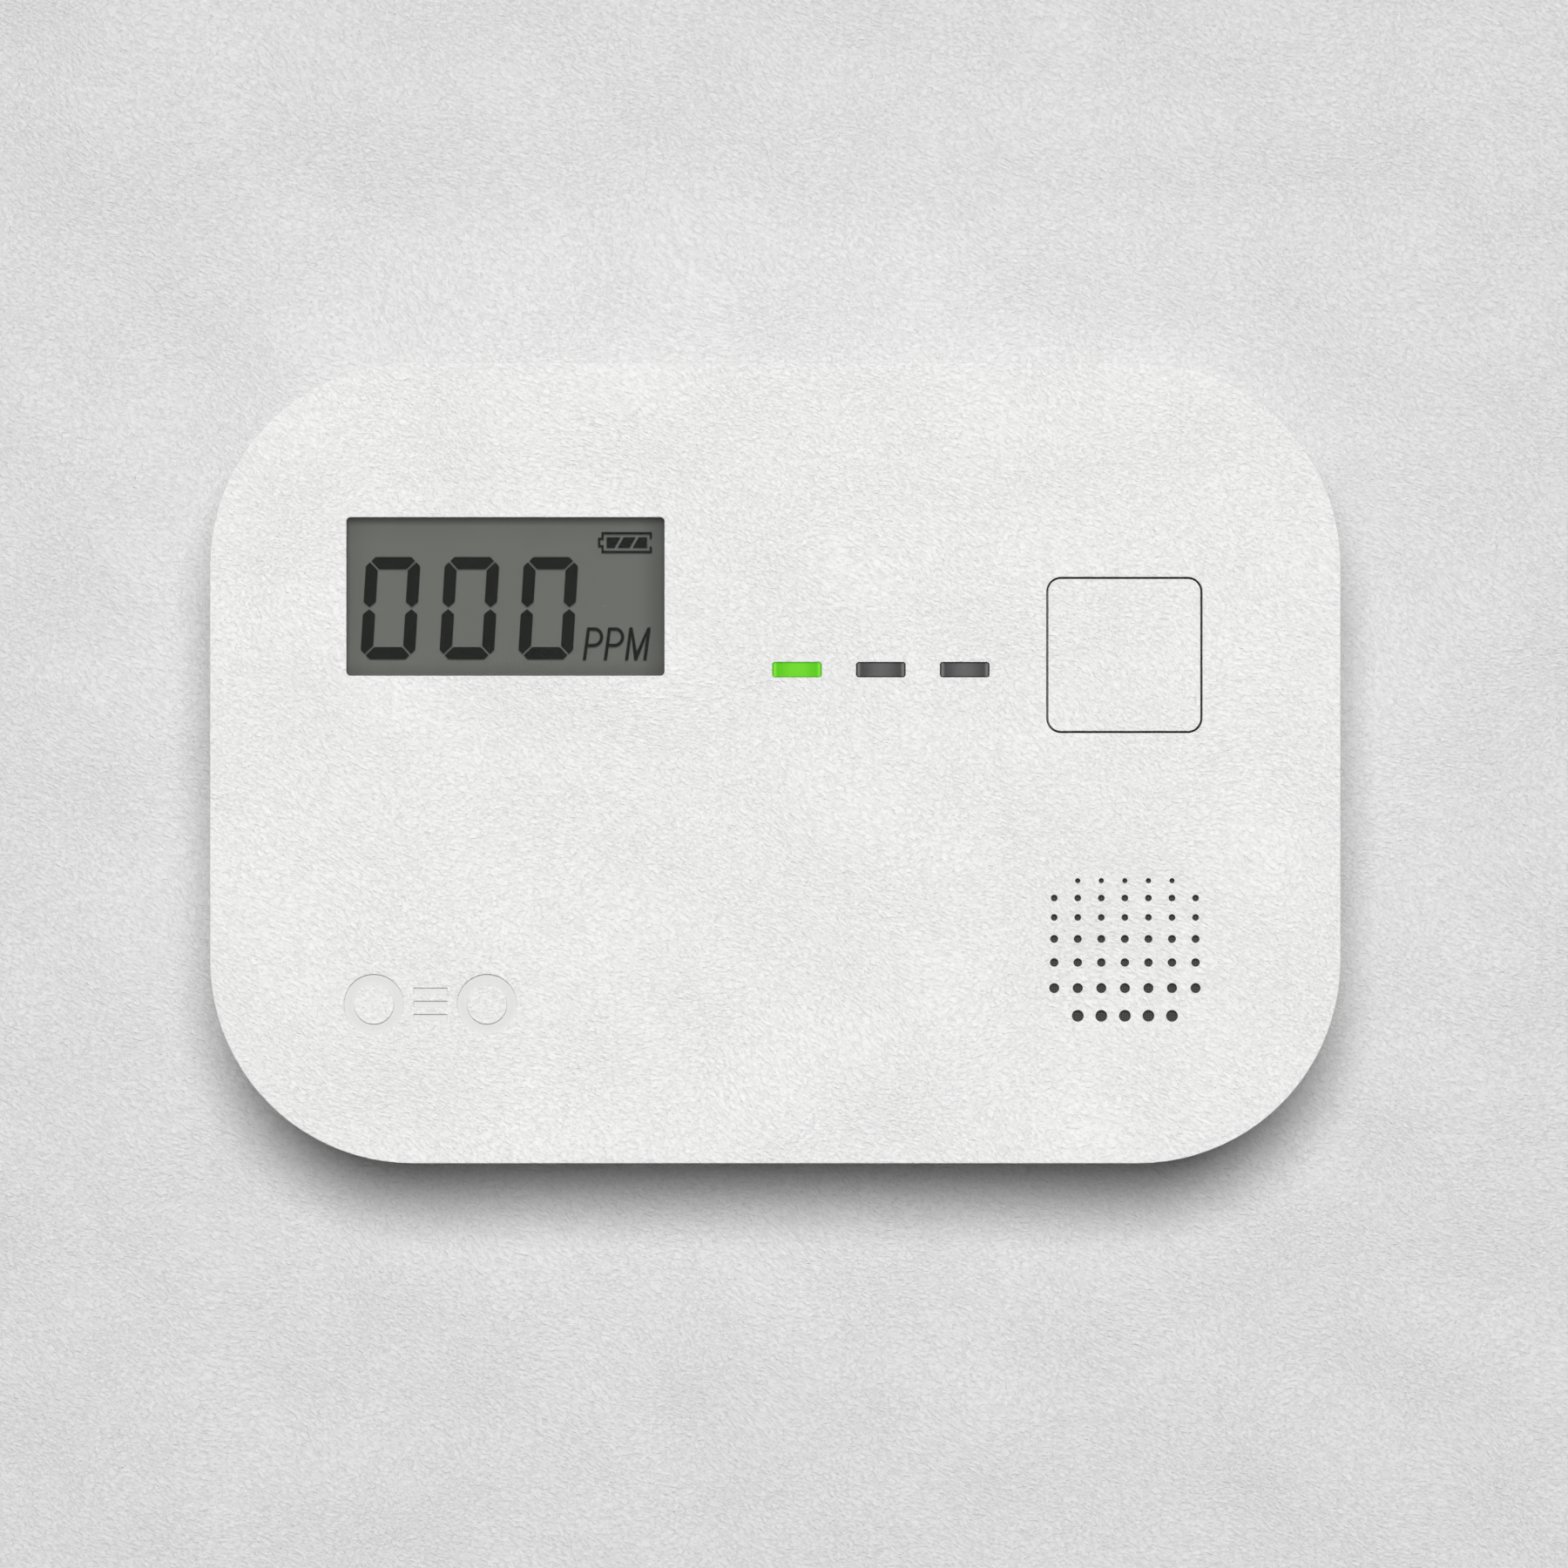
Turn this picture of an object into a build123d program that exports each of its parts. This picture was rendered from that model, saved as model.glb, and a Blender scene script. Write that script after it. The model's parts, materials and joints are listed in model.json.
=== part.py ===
from build123d import *
import os

# Wall-mounted carbon monoxide detector with a segment display, three status lights,
# a square test button and a sounder grille. Millimetres.
# +X is to the right of someone facing the detector, +Y points into the wall, +Z is up.
# The origin lies on the wall, midway between the two wall screws.
# "Depth" is always the distance out from the wall, so the front face is the deepest.

# ---------------------------------------------------------------- driving dimensions
case_width = 120.0
case_height = 85.0
case_depth = 36.0
corner_radius = 21.5
case_wall = 2.2
face_wall = 2.2
thin_wall = 1.2  # the face behind the window and the grille
face_edge_radius = 0.12
split_depth = 13.0  # where the front and rear covers meet
tongue_length = 2.0
tongue_clearance = 0.1

rear_gap = 0.6  # the rear cover stands this far off the wall
rear_wall = 2.0
rear_inset = 0.4  # shadow step between the two covers
rear_edge_radius = 2.5

bracket_width = 76.0
bracket_height = 31.0
bracket_thickness = 2.4
bracket_radius = 6.0
bracket_above_centre = 18.5  # bracket centre above case centre
wall_screw_spacing = 60.0
case_z = -bracket_above_centre

lift_travel = 2.8
hook_width = 6.0
hook_thickness = 1.6
hook_engagement = 2.6

board_rear = 23.2
board_thickness = 1.6
board_front = board_rear + board_thickness
board_width = 105.0
board_height = 69.0
board_radius = 14.0

window_width = 33.74
window_height = 16.81
window_x = -28.64
window_z = 17.66
window_radius = 0.45

light_count = 3
light_pitch = 8.9
light_x = 2.30
light_z = 9.89
light_width = 5.24
light_height = 1.61
light_radius = 0.3

button_x = 37.05
button_z = 11.45
button_opening = 16.55
button_radius = 1.55  # corners of the opening
button_gap = 0.2

grille_x = 37.1
grille_z = -19.6
grille_pitch = 2.5
grille_top = 7.09  # topmost row above the grille centre
grille_first_gap = 1.84
grille_gap_growth = 0.22
grille_diameters = (0.54, 0.70, 0.70, 0.83, 0.89, 1.05, 1.24)

cell_radius = 7.25
cell_length = 50.5
cell_depth = 10.85
cell_pitch = 15.2
upper_cell_z = -13.2
lower_cell_z = upper_cell_z - cell_pitch
tray_left = -39.5
tray_right = 18.0
tray_top = -5.6
tray_bottom = -36.0
tray_wall = 1.6
tray_floor = 18.6

# ---------------------------------------------------------------- derived dimensions
inner_face = case_depth - face_wall
thin_face = case_depth - thin_wall
bracket_gap = 0.3  # between the bracket and the floor of its recess
recess_floor = bracket_thickness + bracket_gap
recess_back = recess_floor + rear_wall
screw_x = 49.4
screw_z = 31.2
screw_points = [(screw_x * i, screw_z * j) for i in (-1, 1) for j in (-1, 1)]
board_screw_points = [(-49.5, -3), (50.5, -2), (2, 31), (2, -31)]
boss_meet = 14.0  # where the rear tubes meet the front bosses
light_points = [(light_x + light_pitch * i, light_z) for i in range(light_count)]
front = (0, -1, 0)


def level(depth):
    """A plane facing out of the wall at this depth, centred on the case."""
    return Plane(origin=(0, -depth, case_z), x_dir=(1, 0, 0), z_dir=front)


def bracket_level(depth):
    """The same, centred on the wall bracket."""
    return Plane(origin=(0, -depth, 0), x_dir=(1, 0, 0), z_dir=front)


def section(x):
    """A plane across the case at x, facing +X; its points are (depth, height)."""
    return Plane(origin=(x, 0, case_z), x_dir=(0, -1, 0), z_dir=(-1, 0, 0))


def case_outline(inset=0.0, mode=Mode.ADD):
    """The rounded rectangle of the case, drawn in by inset."""
    RectangleRounded(
        case_width - 2 * inset, case_height - 2 * inset, corner_radius - inset, mode=mode
    )


def span(low, high, across, mode=Mode.ADD):
    """A rectangle from low to high along the first axis, across = (low, high) along the second."""
    with Locations(((low + high) / 2, sum(across) / 2)):
        Rectangle(high - low, across[1] - across[0], mode=mode)


# ---------------------------------------------------------------- wall bracket
rim_width = 2.0
rib_width = 1.6
rib_pitch = 15.0
pocket_depth = 0.8
bracket_edge_radius = 0.4
wall_hole_radius = 2.25
wall_head_radius = 3.5
wall_boss_radius = 5.6
hook_x = 27.0
hook_z = 9.0
hook_lip = 2.0  # thickness of a hook's upturned plate
hook_play = 0.2
hook_depth = recess_back + hook_play
hook_points = [(hook_x * i, hook_z * j) for i in (-1, 1) for j in (-1, 1)]

with BuildPart() as wall_bracket:
    with BuildSketch(bracket_level(0)):
        RectangleRounded(bracket_width, bracket_height, bracket_radius)
    extrude(amount=bracket_thickness)
    fillet(wall_bracket.edges().filter_by(GeomType.CIRCLE).group_by(Axis.Y)[0], bracket_edge_radius)
    # The wall side is cored out to a rim, ribs and two screw bosses.
    with BuildSketch(bracket_level(0)):
        RectangleRounded(
            bracket_width - 2 * rim_width,
            bracket_height - 2 * rim_width,
            bracket_radius - rim_width,
        )
        with GridLocations(wall_screw_spacing, 0, 2, 1):
            Circle(wall_boss_radius, mode=Mode.SUBTRACT)
        Rectangle(bracket_width, rib_width, mode=Mode.SUBTRACT)
        with GridLocations(rib_pitch, 0, 3, 1):
            Rectangle(rib_width, bracket_height, mode=Mode.SUBTRACT)
    extrude(amount=pocket_depth, mode=Mode.SUBTRACT)
    # Upturned hooks that the rear cover hangs on.
    with BuildSketch(bracket_level(bracket_thickness)):
        with Locations(*hook_points):
            Rectangle(hook_width, hook_thickness, align=(Align.CENTER, Align.MIN))
    extrude(amount=hook_depth + hook_lip - bracket_thickness)
    with BuildSketch(bracket_level(hook_depth)):
        with Locations(*hook_points):
            Rectangle(
                hook_width,
                hook_thickness + hook_engagement,
                align=(Align.CENTER, Align.MIN),
            )
    extrude(amount=hook_lip)
    with Locations(bracket_level(bracket_thickness)):
        with GridLocations(wall_screw_spacing, 0, 2, 1):
            CounterSinkHole(wall_hole_radius, wall_head_radius)

# ---------------------------------------------------------------- rear cover
recess_clearance = 0.4
recess_top = bracket_above_centre + bracket_height / 2 + recess_clearance
recess_bottom = (
    bracket_above_centre - bracket_height / 2 - lift_travel - recess_clearance
)
recess_half = bracket_width / 2 + recess_clearance
hook_side_gap = 0.3
hook_top_gap = 0.05
tube_radius = 3.9
counterbore_radius = 3.0
screw_web = 3.0
shank_hole_radius = 1.7
door_thickness = 1.8
door_gap = 0.25
hinge_barrel = 1.6
hinge_pin = 1.0
hinge_clearance = 0.05
hinge_depth = rear_gap + hinge_barrel
hinge_z = tray_top - door_gap - hinge_barrel
cradle_clearance = 0.1
cradle_xs = (-25, -10, 5)
cradle_rear = 14.0
cradle_thickness = 1.5
ledge_width = 1.0
ledge_thickness = 1.2
ledge_drop = 4.0  # the ledges start this far below the hinge
notch_width = 16.0
notch_height = 3.6
notch_depth = 1.0
inlet_x = 47.0
inlet_z = 12.0
inlet_count = 6
inlet_pitch = 3.0
inlet_length = 11.5
inlet_height = 1.6
label_x = 40.0
label_z = -15.5
label_width = 31.0
label_height = 19.0
label_radius = 1.5
label_thickness = 0.15
label_gap = 0.15
contact_thickness = 0.4
tab_width = 2.0
tab_play = 0.4  # how much longer than a tab its slots are
tab_x = tray_right - contact_thickness / 2
tab_points = [(tab_x, upper_cell_z), (tab_x, lower_cell_z)]

with BuildPart() as rear_cover:
    with BuildSketch(level(rear_gap)):
        case_outline(rear_inset)
    extrude(amount=split_depth - rear_gap)
    fillet(rear_cover.faces().sort_by(Axis.Y)[-1].edges(), rear_edge_radius)
    with BuildSketch(level(rear_gap + rear_wall)):
        case_outline(rear_inset + rear_wall)
    extrude(amount=split_depth - rear_gap - rear_wall, mode=Mode.SUBTRACT)
    # Tongue that slips inside the front cover.
    with BuildSketch(level(split_depth)):
        case_outline(case_wall / 2 + tongue_clearance)
        case_outline(rear_inset + rear_wall, mode=Mode.SUBTRACT)
    extrude(amount=tongue_length)
    # Recess for the wall bracket, with a slot for each hook.
    with BuildSketch(level(rear_gap + rear_wall)):
        span(
            -recess_half - rear_wall,
            recess_half + rear_wall,
            (recess_bottom - rear_wall, recess_top + rear_wall),
        )
    extrude(amount=recess_back - rear_gap - rear_wall)
    with BuildSketch(level(rear_gap)) as recess_sketch:
        span(-recess_half, recess_half, (recess_bottom, recess_top))
        fillet(recess_sketch.vertices(), bracket_radius)
    extrude(amount=recess_floor - rear_gap, mode=Mode.SUBTRACT)
    with BuildSketch(level(recess_floor)):
        for x, z in hook_points:
            stem = bracket_above_centre + z
            span(
                x - hook_width / 2 - hook_side_gap,
                x + hook_width / 2 + hook_side_gap,
                (stem - hook_engagement - hook_side_gap, stem + hook_thickness + hook_top_gap),
            )
    extrude(amount=rear_wall, mode=Mode.SUBTRACT)
    # Battery tray, open to the rear.
    with BuildSketch(level(rear_gap + rear_wall)):
        span(
            tray_left - tray_wall,
            tray_right + tray_wall,
            (tray_bottom - tray_wall, tray_top + tray_wall),
        )
    extrude(amount=tray_floor + tray_wall - rear_gap - rear_wall)
    with BuildSketch(level(rear_gap)):
        span(tray_left, tray_right, (tray_bottom, tray_top))
    extrude(amount=tray_floor - rear_gap, mode=Mode.SUBTRACT)
    # Cradle ribs with a hollow for each cell.
    for x in cradle_xs:
        with BuildSketch(section(x)):
            span(cradle_rear, tray_floor, (tray_bottom, tray_top))
            with Locations((cell_depth, upper_cell_z), (cell_depth, lower_cell_z)):
                Circle(cell_radius + cradle_clearance, mode=Mode.SUBTRACT)
        extrude(amount=cradle_thickness / 2, both=True)
    # Ledges that the closed door rests on.
    with BuildSketch(level(rear_gap + door_thickness + hinge_clearance)):
        span(tray_left, tray_left + ledge_width, (tray_bottom, hinge_z - ledge_drop))
        span(tray_right - ledge_width, tray_right, (tray_bottom, hinge_z - ledge_drop))
    extrude(amount=ledge_thickness)
    # Sockets for the door's hinge pins.
    with BuildSketch(section(tray_right + tray_wall)):
        with Locations((hinge_depth, hinge_z)):
            Circle(hinge_pin + hinge_clearance)
    extrude(amount=tray_right - tray_left + 2 * tray_wall, mode=Mode.SUBTRACT)
    # Slots for the contact tabs.
    with BuildSketch(level(tray_floor)):
        with Locations(*tab_points):
            Rectangle(contact_thickness + tab_play, tab_width + tab_play)
    extrude(amount=tray_wall, mode=Mode.SUBTRACT)
    # Thumb notch below the door.
    with BuildSketch(level(rear_gap)):
        with Locations(((tray_left + tray_right) / 2, tray_bottom)):
            SlotOverall(notch_width, notch_height)
    extrude(amount=notch_depth, mode=Mode.SUBTRACT)
    # Tubes for the case screws.
    with BuildSketch(level(rear_gap + rear_wall)):
        with Locations(*screw_points):
            Circle(tube_radius)
    extrude(amount=boss_meet - rear_gap - rear_wall)
    with BuildSketch(level(rear_gap)):
        with Locations(*screw_points):
            Circle(counterbore_radius)
    extrude(amount=boss_meet - screw_web - rear_gap, mode=Mode.SUBTRACT)
    with BuildSketch(level(rear_gap)):
        with Locations(*screw_points):
            Circle(shank_hole_radius)
    extrude(amount=boss_meet - rear_gap, mode=Mode.SUBTRACT)
    # Air inlet slots behind the gas sensor, and a shallow seat for the label.
    with BuildSketch(level(rear_gap)):
        with Locations((inlet_x, inlet_z)):
            with GridLocations(0, inlet_pitch, 1, inlet_count):
                SlotOverall(inlet_length, inlet_height)
    extrude(amount=rear_wall, mode=Mode.SUBTRACT)
    with BuildSketch(level(rear_gap)):
        with Locations((label_x, label_z)):
            RectangleRounded(
                label_width + 2 * label_gap, label_height + 2 * label_gap, label_radius + label_gap
            )
    extrude(amount=2 * label_thickness, mode=Mode.SUBTRACT)

with BuildPart() as rating_label:
    with BuildSketch(level(rear_gap + label_thickness)):
        with Locations((label_x, label_z)):
            RectangleRounded(label_width, label_height, label_radius)
    extrude(amount=label_thickness)

# ---------------------------------------------------------------- battery door
door_left = tray_left + door_gap
door_right = tray_right - door_gap
door_bottom = tray_bottom + door_gap
door_x = (door_left + door_right) / 2
latch_width = 14.0
latch_leg = 5.4
slit_width = 0.8
slit_length = 8.0
pin_length = 1.35  # how far a hinge pin goes into its socket
door_rib = 1.2
door_rib_height = 0.7
door_rib_inset = 3.0
cell_divide_z = (upper_cell_z + lower_cell_z) / 2
tongue_thickness = 1.0
ridge_count = 4
ridge_pitch = 1.3
ridge_height = 0.6
ridge_inset = 1.8
mark_depth = 0.35
arrow_z = door_bottom + 9.4
arrow_size = 2.6

with BuildPart() as battery_door:
    with BuildSketch(level(rear_gap)):
        span(door_left, door_right, (door_bottom, hinge_z))
    extrude(amount=door_thickness)
    with BuildSketch(section(door_right)):
        with Locations((hinge_depth, hinge_z)):
            Circle(hinge_barrel)
    extrude(amount=door_right - door_left)
    with BuildSketch(section(door_right + door_gap + pin_length)):
        with Locations((hinge_depth, hinge_z)):
            Circle(hinge_pin)
    extrude(amount=door_right - door_left + 2 * (door_gap + pin_length))
    # Stiffening ribs on the inside.
    with BuildSketch(level(rear_gap + door_thickness)):
        for x in cradle_xs:
            span(x - door_rib / 2, x + door_rib / 2, (door_bottom + door_rib_inset, hinge_z))
        span(
            door_left + door_rib_inset,
            door_right - door_rib_inset,
            (cell_divide_z - door_rib / 2, cell_divide_z + door_rib / 2),
        )
    extrude(amount=door_rib_height)
    # Snap tongue: two slits free it, and a leg reaches in beside the tray wall.
    with BuildSketch(level(rear_gap)):
        with Locations((door_x, door_bottom)):
            with GridLocations(latch_width, 0, 2, 1):
                Rectangle(slit_width, slit_length, align=(Align.CENTER, Align.MIN))
    extrude(amount=door_thickness + door_rib_height, mode=Mode.SUBTRACT)
    with BuildSketch(level(rear_gap + door_thickness)):
        span(
            door_x - latch_width / 2 + slit_width,
            door_x + latch_width / 2 - slit_width,
            (door_bottom, door_bottom + tongue_thickness),
        )
    extrude(amount=latch_leg - rear_gap - door_thickness)
    # Grip grooves for the thumb and an arrow towards the edge that opens.
    with BuildSketch(level(rear_gap)):
        for i in range(ridge_count):
            with Locations((door_x, door_bottom + ridge_inset + ridge_pitch * i)):
                Rectangle(latch_width - 4 * slit_width, ridge_height)
        Polygon(
            (door_x, arrow_z),
            (door_x - arrow_size, arrow_z + arrow_size),
            (door_x + arrow_size, arrow_z + arrow_size),
            align=None,
        )
    extrude(amount=mark_depth, mode=Mode.SUBTRACT)

# ---------------------------------------------------------------- front cover
board_post_radius = 2.75
board_pilot_radius = 1.1
boss_radius = 3.2
pilot_radius = 1.5
pilot_length = 12.0
board_pilot_length = 6.5
collar_wall = 1.4
collar_rear = 30.0
button_flange = 18.6
button_flange_radius = 1.5
collar_play = 0.2
collar_inner = button_flange + 2 * collar_play
collar_radius = button_flange_radius + collar_play
sounder_radius = 12.5
fence_wall = 1.4
fence_height = 2.6
fence_gap = 0.2
mesh_radius = 9.8
vent_count = 7
vent_pitch = 3.2
vent_height = 1.4
vent_length = 10.0
vent_depth = 22.0
lens_flange_width = 37.5
lens_flange_height = 20.5
lens_flange_gap = 0.1
rim_round = 0.1
grille_round = 0.05
largest_hole = max(grille_diameters)
emblem_depth = 0.6
emblem_rings = [(-42.6, -25.6), (-30.6, -25.6)]
emblem_bars = (-36.6, -25.6)
ring_radius = 3.2
ring_stroke = 1.1
bar_length = 3.6
bar_pitch = 1.4


def grille_rows():
    """(height, hole diameter, hole count) of each row: the rows spread and the holes grow downwards."""
    z = grille_z + grille_top
    last = len(grille_diameters) - 1
    rows = []
    for i, diameter in enumerate(grille_diameters):
        rows.append((z, diameter, 5 if i in (0, last) else 7))
        z -= grille_first_gap + grille_gap_growth * i
    return rows


with BuildPart() as front_cover:
    with BuildSketch(level(split_depth)):
        case_outline()
    extrude(amount=case_depth - split_depth)
    fillet(front_cover.faces().sort_by(Axis.Y)[0].edges(), face_edge_radius)
    with BuildSketch(level(split_depth)):
        case_outline(case_wall)
    extrude(amount=inner_face - split_depth, mode=Mode.SUBTRACT)
    # Rabbet for the rear cover's tongue.
    with BuildSketch(level(split_depth)):
        case_outline(case_wall / 2)
    extrude(amount=tongue_length + 2 * tongue_clearance, mode=Mode.SUBTRACT)
    # Screw bosses and posts for the circuit board.
    with BuildSketch(level(boss_meet)):
        with Locations(*screw_points):
            Circle(boss_radius)
    extrude(amount=inner_face - boss_meet)
    with BuildSketch(level(board_front)):
        with Locations(*board_screw_points):
            Circle(board_post_radius)
    extrude(amount=inner_face - board_front)
    with BuildSketch(level(boss_meet)):
        with Locations(*screw_points):
            Circle(pilot_radius)
    extrude(amount=pilot_length, mode=Mode.SUBTRACT)
    with BuildSketch(level(board_front)):
        with Locations(*board_screw_points):
            Circle(board_pilot_radius)
    extrude(amount=board_pilot_length, mode=Mode.SUBTRACT)
    # Guide collar round the button and a fence round the sounder.
    with BuildSketch(level(collar_rear)):
        with Locations((button_x, button_z)):
            collar_outer = collar_inner + 2 * collar_wall
            RectangleRounded(collar_outer, collar_outer, collar_radius + collar_wall)
            RectangleRounded(collar_inner, collar_inner, collar_radius, mode=Mode.SUBTRACT)
    extrude(amount=inner_face - collar_rear)
    with BuildSketch(level(inner_face - fence_height)):
        with Locations((grille_x, grille_z)):
            Circle(sounder_radius + fence_gap + fence_wall)
            Circle(sounder_radius + fence_gap, mode=Mode.SUBTRACT)
    extrude(amount=fence_height)
    # Thinner wall where the lens and the dust mesh sit.
    with BuildSketch(level(inner_face)):
        with Locations((window_x, window_z)):
            Rectangle(lens_flange_width + 2 * lens_flange_gap, lens_flange_height + 2 * lens_flange_gap)
        with Locations((grille_x, grille_z)):
            Circle(mesh_radius + fence_gap)
    extrude(amount=face_wall - thin_wall, mode=Mode.SUBTRACT)
    # Openings in the face.
    with BuildSketch(level(inner_face)):
        with Locations((window_x, window_z)):
            RectangleRounded(window_width, window_height, window_radius)
        with Locations(*light_points):
            RectangleRounded(light_width, light_height, light_radius)
        with Locations((button_x, button_z)):
            RectangleRounded(button_opening, button_opening, button_radius)
    extrude(amount=face_wall, mode=Mode.SUBTRACT)
    fillet(
        [e for w in front_cover.faces().sort_by(Axis.Y)[0].inner_wires() for e in w.edges()],
        rim_round,
    )
    with BuildSketch(level(inner_face)):
        for z, diameter, count in grille_rows():
            with Locations((grille_x, z)):
                with GridLocations(grille_pitch, 0, count, 1):
                    Circle(diameter / 2)
    extrude(amount=face_wall, mode=Mode.SUBTRACT)
    fillet(
        front_cover.faces().sort_by(Axis.Y)[0].edges().filter_by(GeomType.CIRCLE)
        .filter_by(lambda e: e.radius < largest_hole and e.is_closed),
        grille_round,
    )
    # Debossed gas-molecule emblem: two rings joined by three bars.
    with BuildSketch(level(case_depth - emblem_depth)):
        with Locations(*emblem_rings):
            Circle(ring_radius)
            Circle(ring_radius - ring_stroke, mode=Mode.SUBTRACT)
        with Locations(emblem_bars):
            with GridLocations(0, bar_pitch, 1, 3):
                Rectangle(bar_length, bar_pitch / 2)
    extrude(amount=emblem_depth, mode=Mode.SUBTRACT)
    # Vent slots in both side walls.
    for side in (-1, 1):
        with BuildSketch(section(side * case_width / 2)):
            with Locations((vent_depth, 0)):
                with GridLocations(0, vent_pitch, 1, vent_count):
                    SlotOverall(vent_length, vent_height)
        extrude(amount=side * 2 * case_wall, mode=Mode.SUBTRACT)

# ---------------------------------------------------------------- fasteners
def cross_head_screws(points, seat, head_radius, head_height, shank_radius, shank_length):
    """Pan-head screws driven in from the rear, their heads resting at depth seat."""
    slot_length = 1.2 * head_radius
    slot_width = 0.24 * head_radius
    slot_depth = 0.55 * head_height
    head_round = head_height / 3.5
    with BuildPart() as screws:
        with BuildSketch(level(seat - head_height)):
            with Locations(*points):
                Circle(head_radius)
        extrude(amount=head_height)
        rims = screws.edges().filter_by(GeomType.CIRCLE).group_by(Axis.Y)[-1]
        fillet(rims, head_round)
        with BuildSketch(level(seat)):
            with Locations(*points):
                Circle(shank_radius)
        extrude(amount=shank_length)
        with BuildSketch(level(seat - head_height)):
            with Locations(*points):
                Rectangle(slot_length, slot_width)
                Rectangle(slot_width, slot_length)
        extrude(amount=slot_depth, mode=Mode.SUBTRACT)
    return screws


case_screws = cross_head_screws(
    screw_points,
    seat=boss_meet - screw_web,
    head_radius=2.7,
    head_height=2.2,
    shank_radius=1.45,
    shank_length=13.0,
)
board_screws = cross_head_screws(
    board_screw_points,
    seat=board_rear,
    head_radius=2.0,
    head_height=1.4,
    shank_radius=1.05,
    shank_length=7.0,
)

# ---------------------------------------------------------------- display
lens_front = case_depth - 0.5
lens_flange = 0.8
lens_gap = 0.07
glass_thickness = 0.7
rear_glass_level = 32.4
segment_level = rear_glass_level + glass_thickness
segment_thickness = 0.1
front_glass_level = segment_level + segment_thickness
reflector_thickness = 0.25
reflector_inset = 0.2
glass_width = 35.2
glass_height = 19.5
contact_ledge = 1.6  # strip of the rear glass that the front glass leaves bare
holder_wall = 1.3
holder_width = glass_width + 2 * holder_wall
holder_height = glass_height + 2 * holder_wall
holder_radius = 1.5
holder_rim = 2.5  # how far the ledge under the glass reaches in
holder_top = 33.7
holder_ledge = rear_glass_level - reflector_thickness
peg_radius = 0.75
peg_reach = 16.6
peg_length = board_thickness - 0.2
pin_count = 12
pin_pitch = 2.54
pin_width = 0.5
pin_depth = 0.4
pin_foot = 1.6
pin_thickness = 0.3
pin_tail = 0.8  # how far leads stand out behind the board
pin_stand_off = 0.4  # from the glass's edge to the middle of a pin
pin_z = window_z - glass_height / 2 - pin_stand_off
pin_points = [(window_x + pin_pitch * (i - (pin_count - 1) / 2), pin_z) for i in range(pin_count)]
peg_points = [(window_x + peg_reach * i, window_z) for i in (-1, 1)]

with BuildPart() as display_lens:
    with BuildSketch(level(thin_face - lens_flange)):
        with Locations((window_x, window_z)):
            Rectangle(lens_flange_width, lens_flange_height)
    extrude(amount=lens_flange)
    with BuildSketch(level(thin_face)):
        with Locations((window_x, window_z)):
            RectangleRounded(
                window_width - 2 * lens_gap, window_height - 2 * lens_gap, window_radius - lens_gap
            )
    extrude(amount=lens_front - thin_face)

with BuildPart() as display_front_glass:
    with BuildSketch(level(front_glass_level)):
        with Locations((window_x, window_z + contact_ledge / 2)):
            Rectangle(glass_width, glass_height - contact_ledge)
    extrude(amount=glass_thickness)

with BuildPart() as display_rear_glass:
    with BuildSketch(level(rear_glass_level)):
        with Locations((window_x, window_z)):
            Rectangle(glass_width, glass_height)
    extrude(amount=glass_thickness)

with BuildPart() as display_reflector:
    with BuildSketch(level(rear_glass_level - reflector_thickness)):
        with Locations((window_x, window_z)):
            Rectangle(glass_width - 2 * reflector_inset, glass_height - 2 * reflector_inset)
    extrude(amount=reflector_thickness)

with BuildPart() as display_holder:
    with BuildSketch(level(board_front)):
        with Locations((window_x, window_z)):
            RectangleRounded(holder_width, holder_height, holder_radius)
            Rectangle(glass_width - 2 * holder_rim, glass_height - 2 * holder_rim, mode=Mode.SUBTRACT)
    extrude(amount=holder_top - board_front)
    with BuildSketch(level(holder_ledge)):
        with Locations((window_x, window_z)):
            Rectangle(glass_width + reflector_inset, glass_height + reflector_inset)
    extrude(amount=holder_top - holder_ledge, mode=Mode.SUBTRACT)
    # The lower wall is open where the pins pass.
    with BuildSketch(level(board_front)):
        with Locations((window_x, window_z - holder_height / 2)):
            Rectangle(pin_pitch * pin_count, 2 * holder_wall)
    extrude(amount=holder_top - board_front, mode=Mode.SUBTRACT)
    with BuildSketch(level(board_front - peg_length)):
        with Locations(*peg_points):
            Circle(peg_radius)
    extrude(amount=peg_length)

# Soldered pins whose feet lie on the rear glass's contact ledge.
with BuildPart() as display_pins:
    with BuildSketch(level(board_rear - pin_tail)):
        with Locations(*pin_points):
            Rectangle(pin_width, pin_depth)
    extrude(amount=segment_level + pin_thickness - board_rear + pin_tail)
    with BuildSketch(level(segment_level)):
        with Locations(*pin_points):
            Rectangle(pin_width, pin_foot, align=(Align.CENTER, Align.MIN))
    extrude(amount=pin_thickness)

# Liquid-crystal segments. Each character is drawn upright and then leaned to the right.
digit_count = 3
digit_width = 5.79
digit_height = 10.88
digit_pitch = 8.39
digit_left = -44.14
digit_base = 11.02
digit_slant = 0.06
stroke = 1.3
corner_cut = 1.0
mitre = 0.067  # sets the gap between two segments at a corner
waist_gap = 0.1
waist_point = 0.55
letter_base = 10.92
letter_height = 3.49
letter_slant = 0.135
letter_stroke = 0.34
bowl_foot = 1.41
bowl_straight = 1.0
bowl_width = 1.85
m_width = 2.28
m_fork = 0.95
m_toe = 0.15
sign_left = -18.49
sign_low = 22.32
sign_width = 5.37
sign_height = 2.23
sign_line = 0.24
sign_hook = 0.7
nub_reach = 0.36
nub_inset = 0.6
charge_bars = ((0.55, 1.39), (1.72, 2.99), (3.32, 4.85))
charge_inset = 0.55
charge_lean = 0.65


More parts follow.
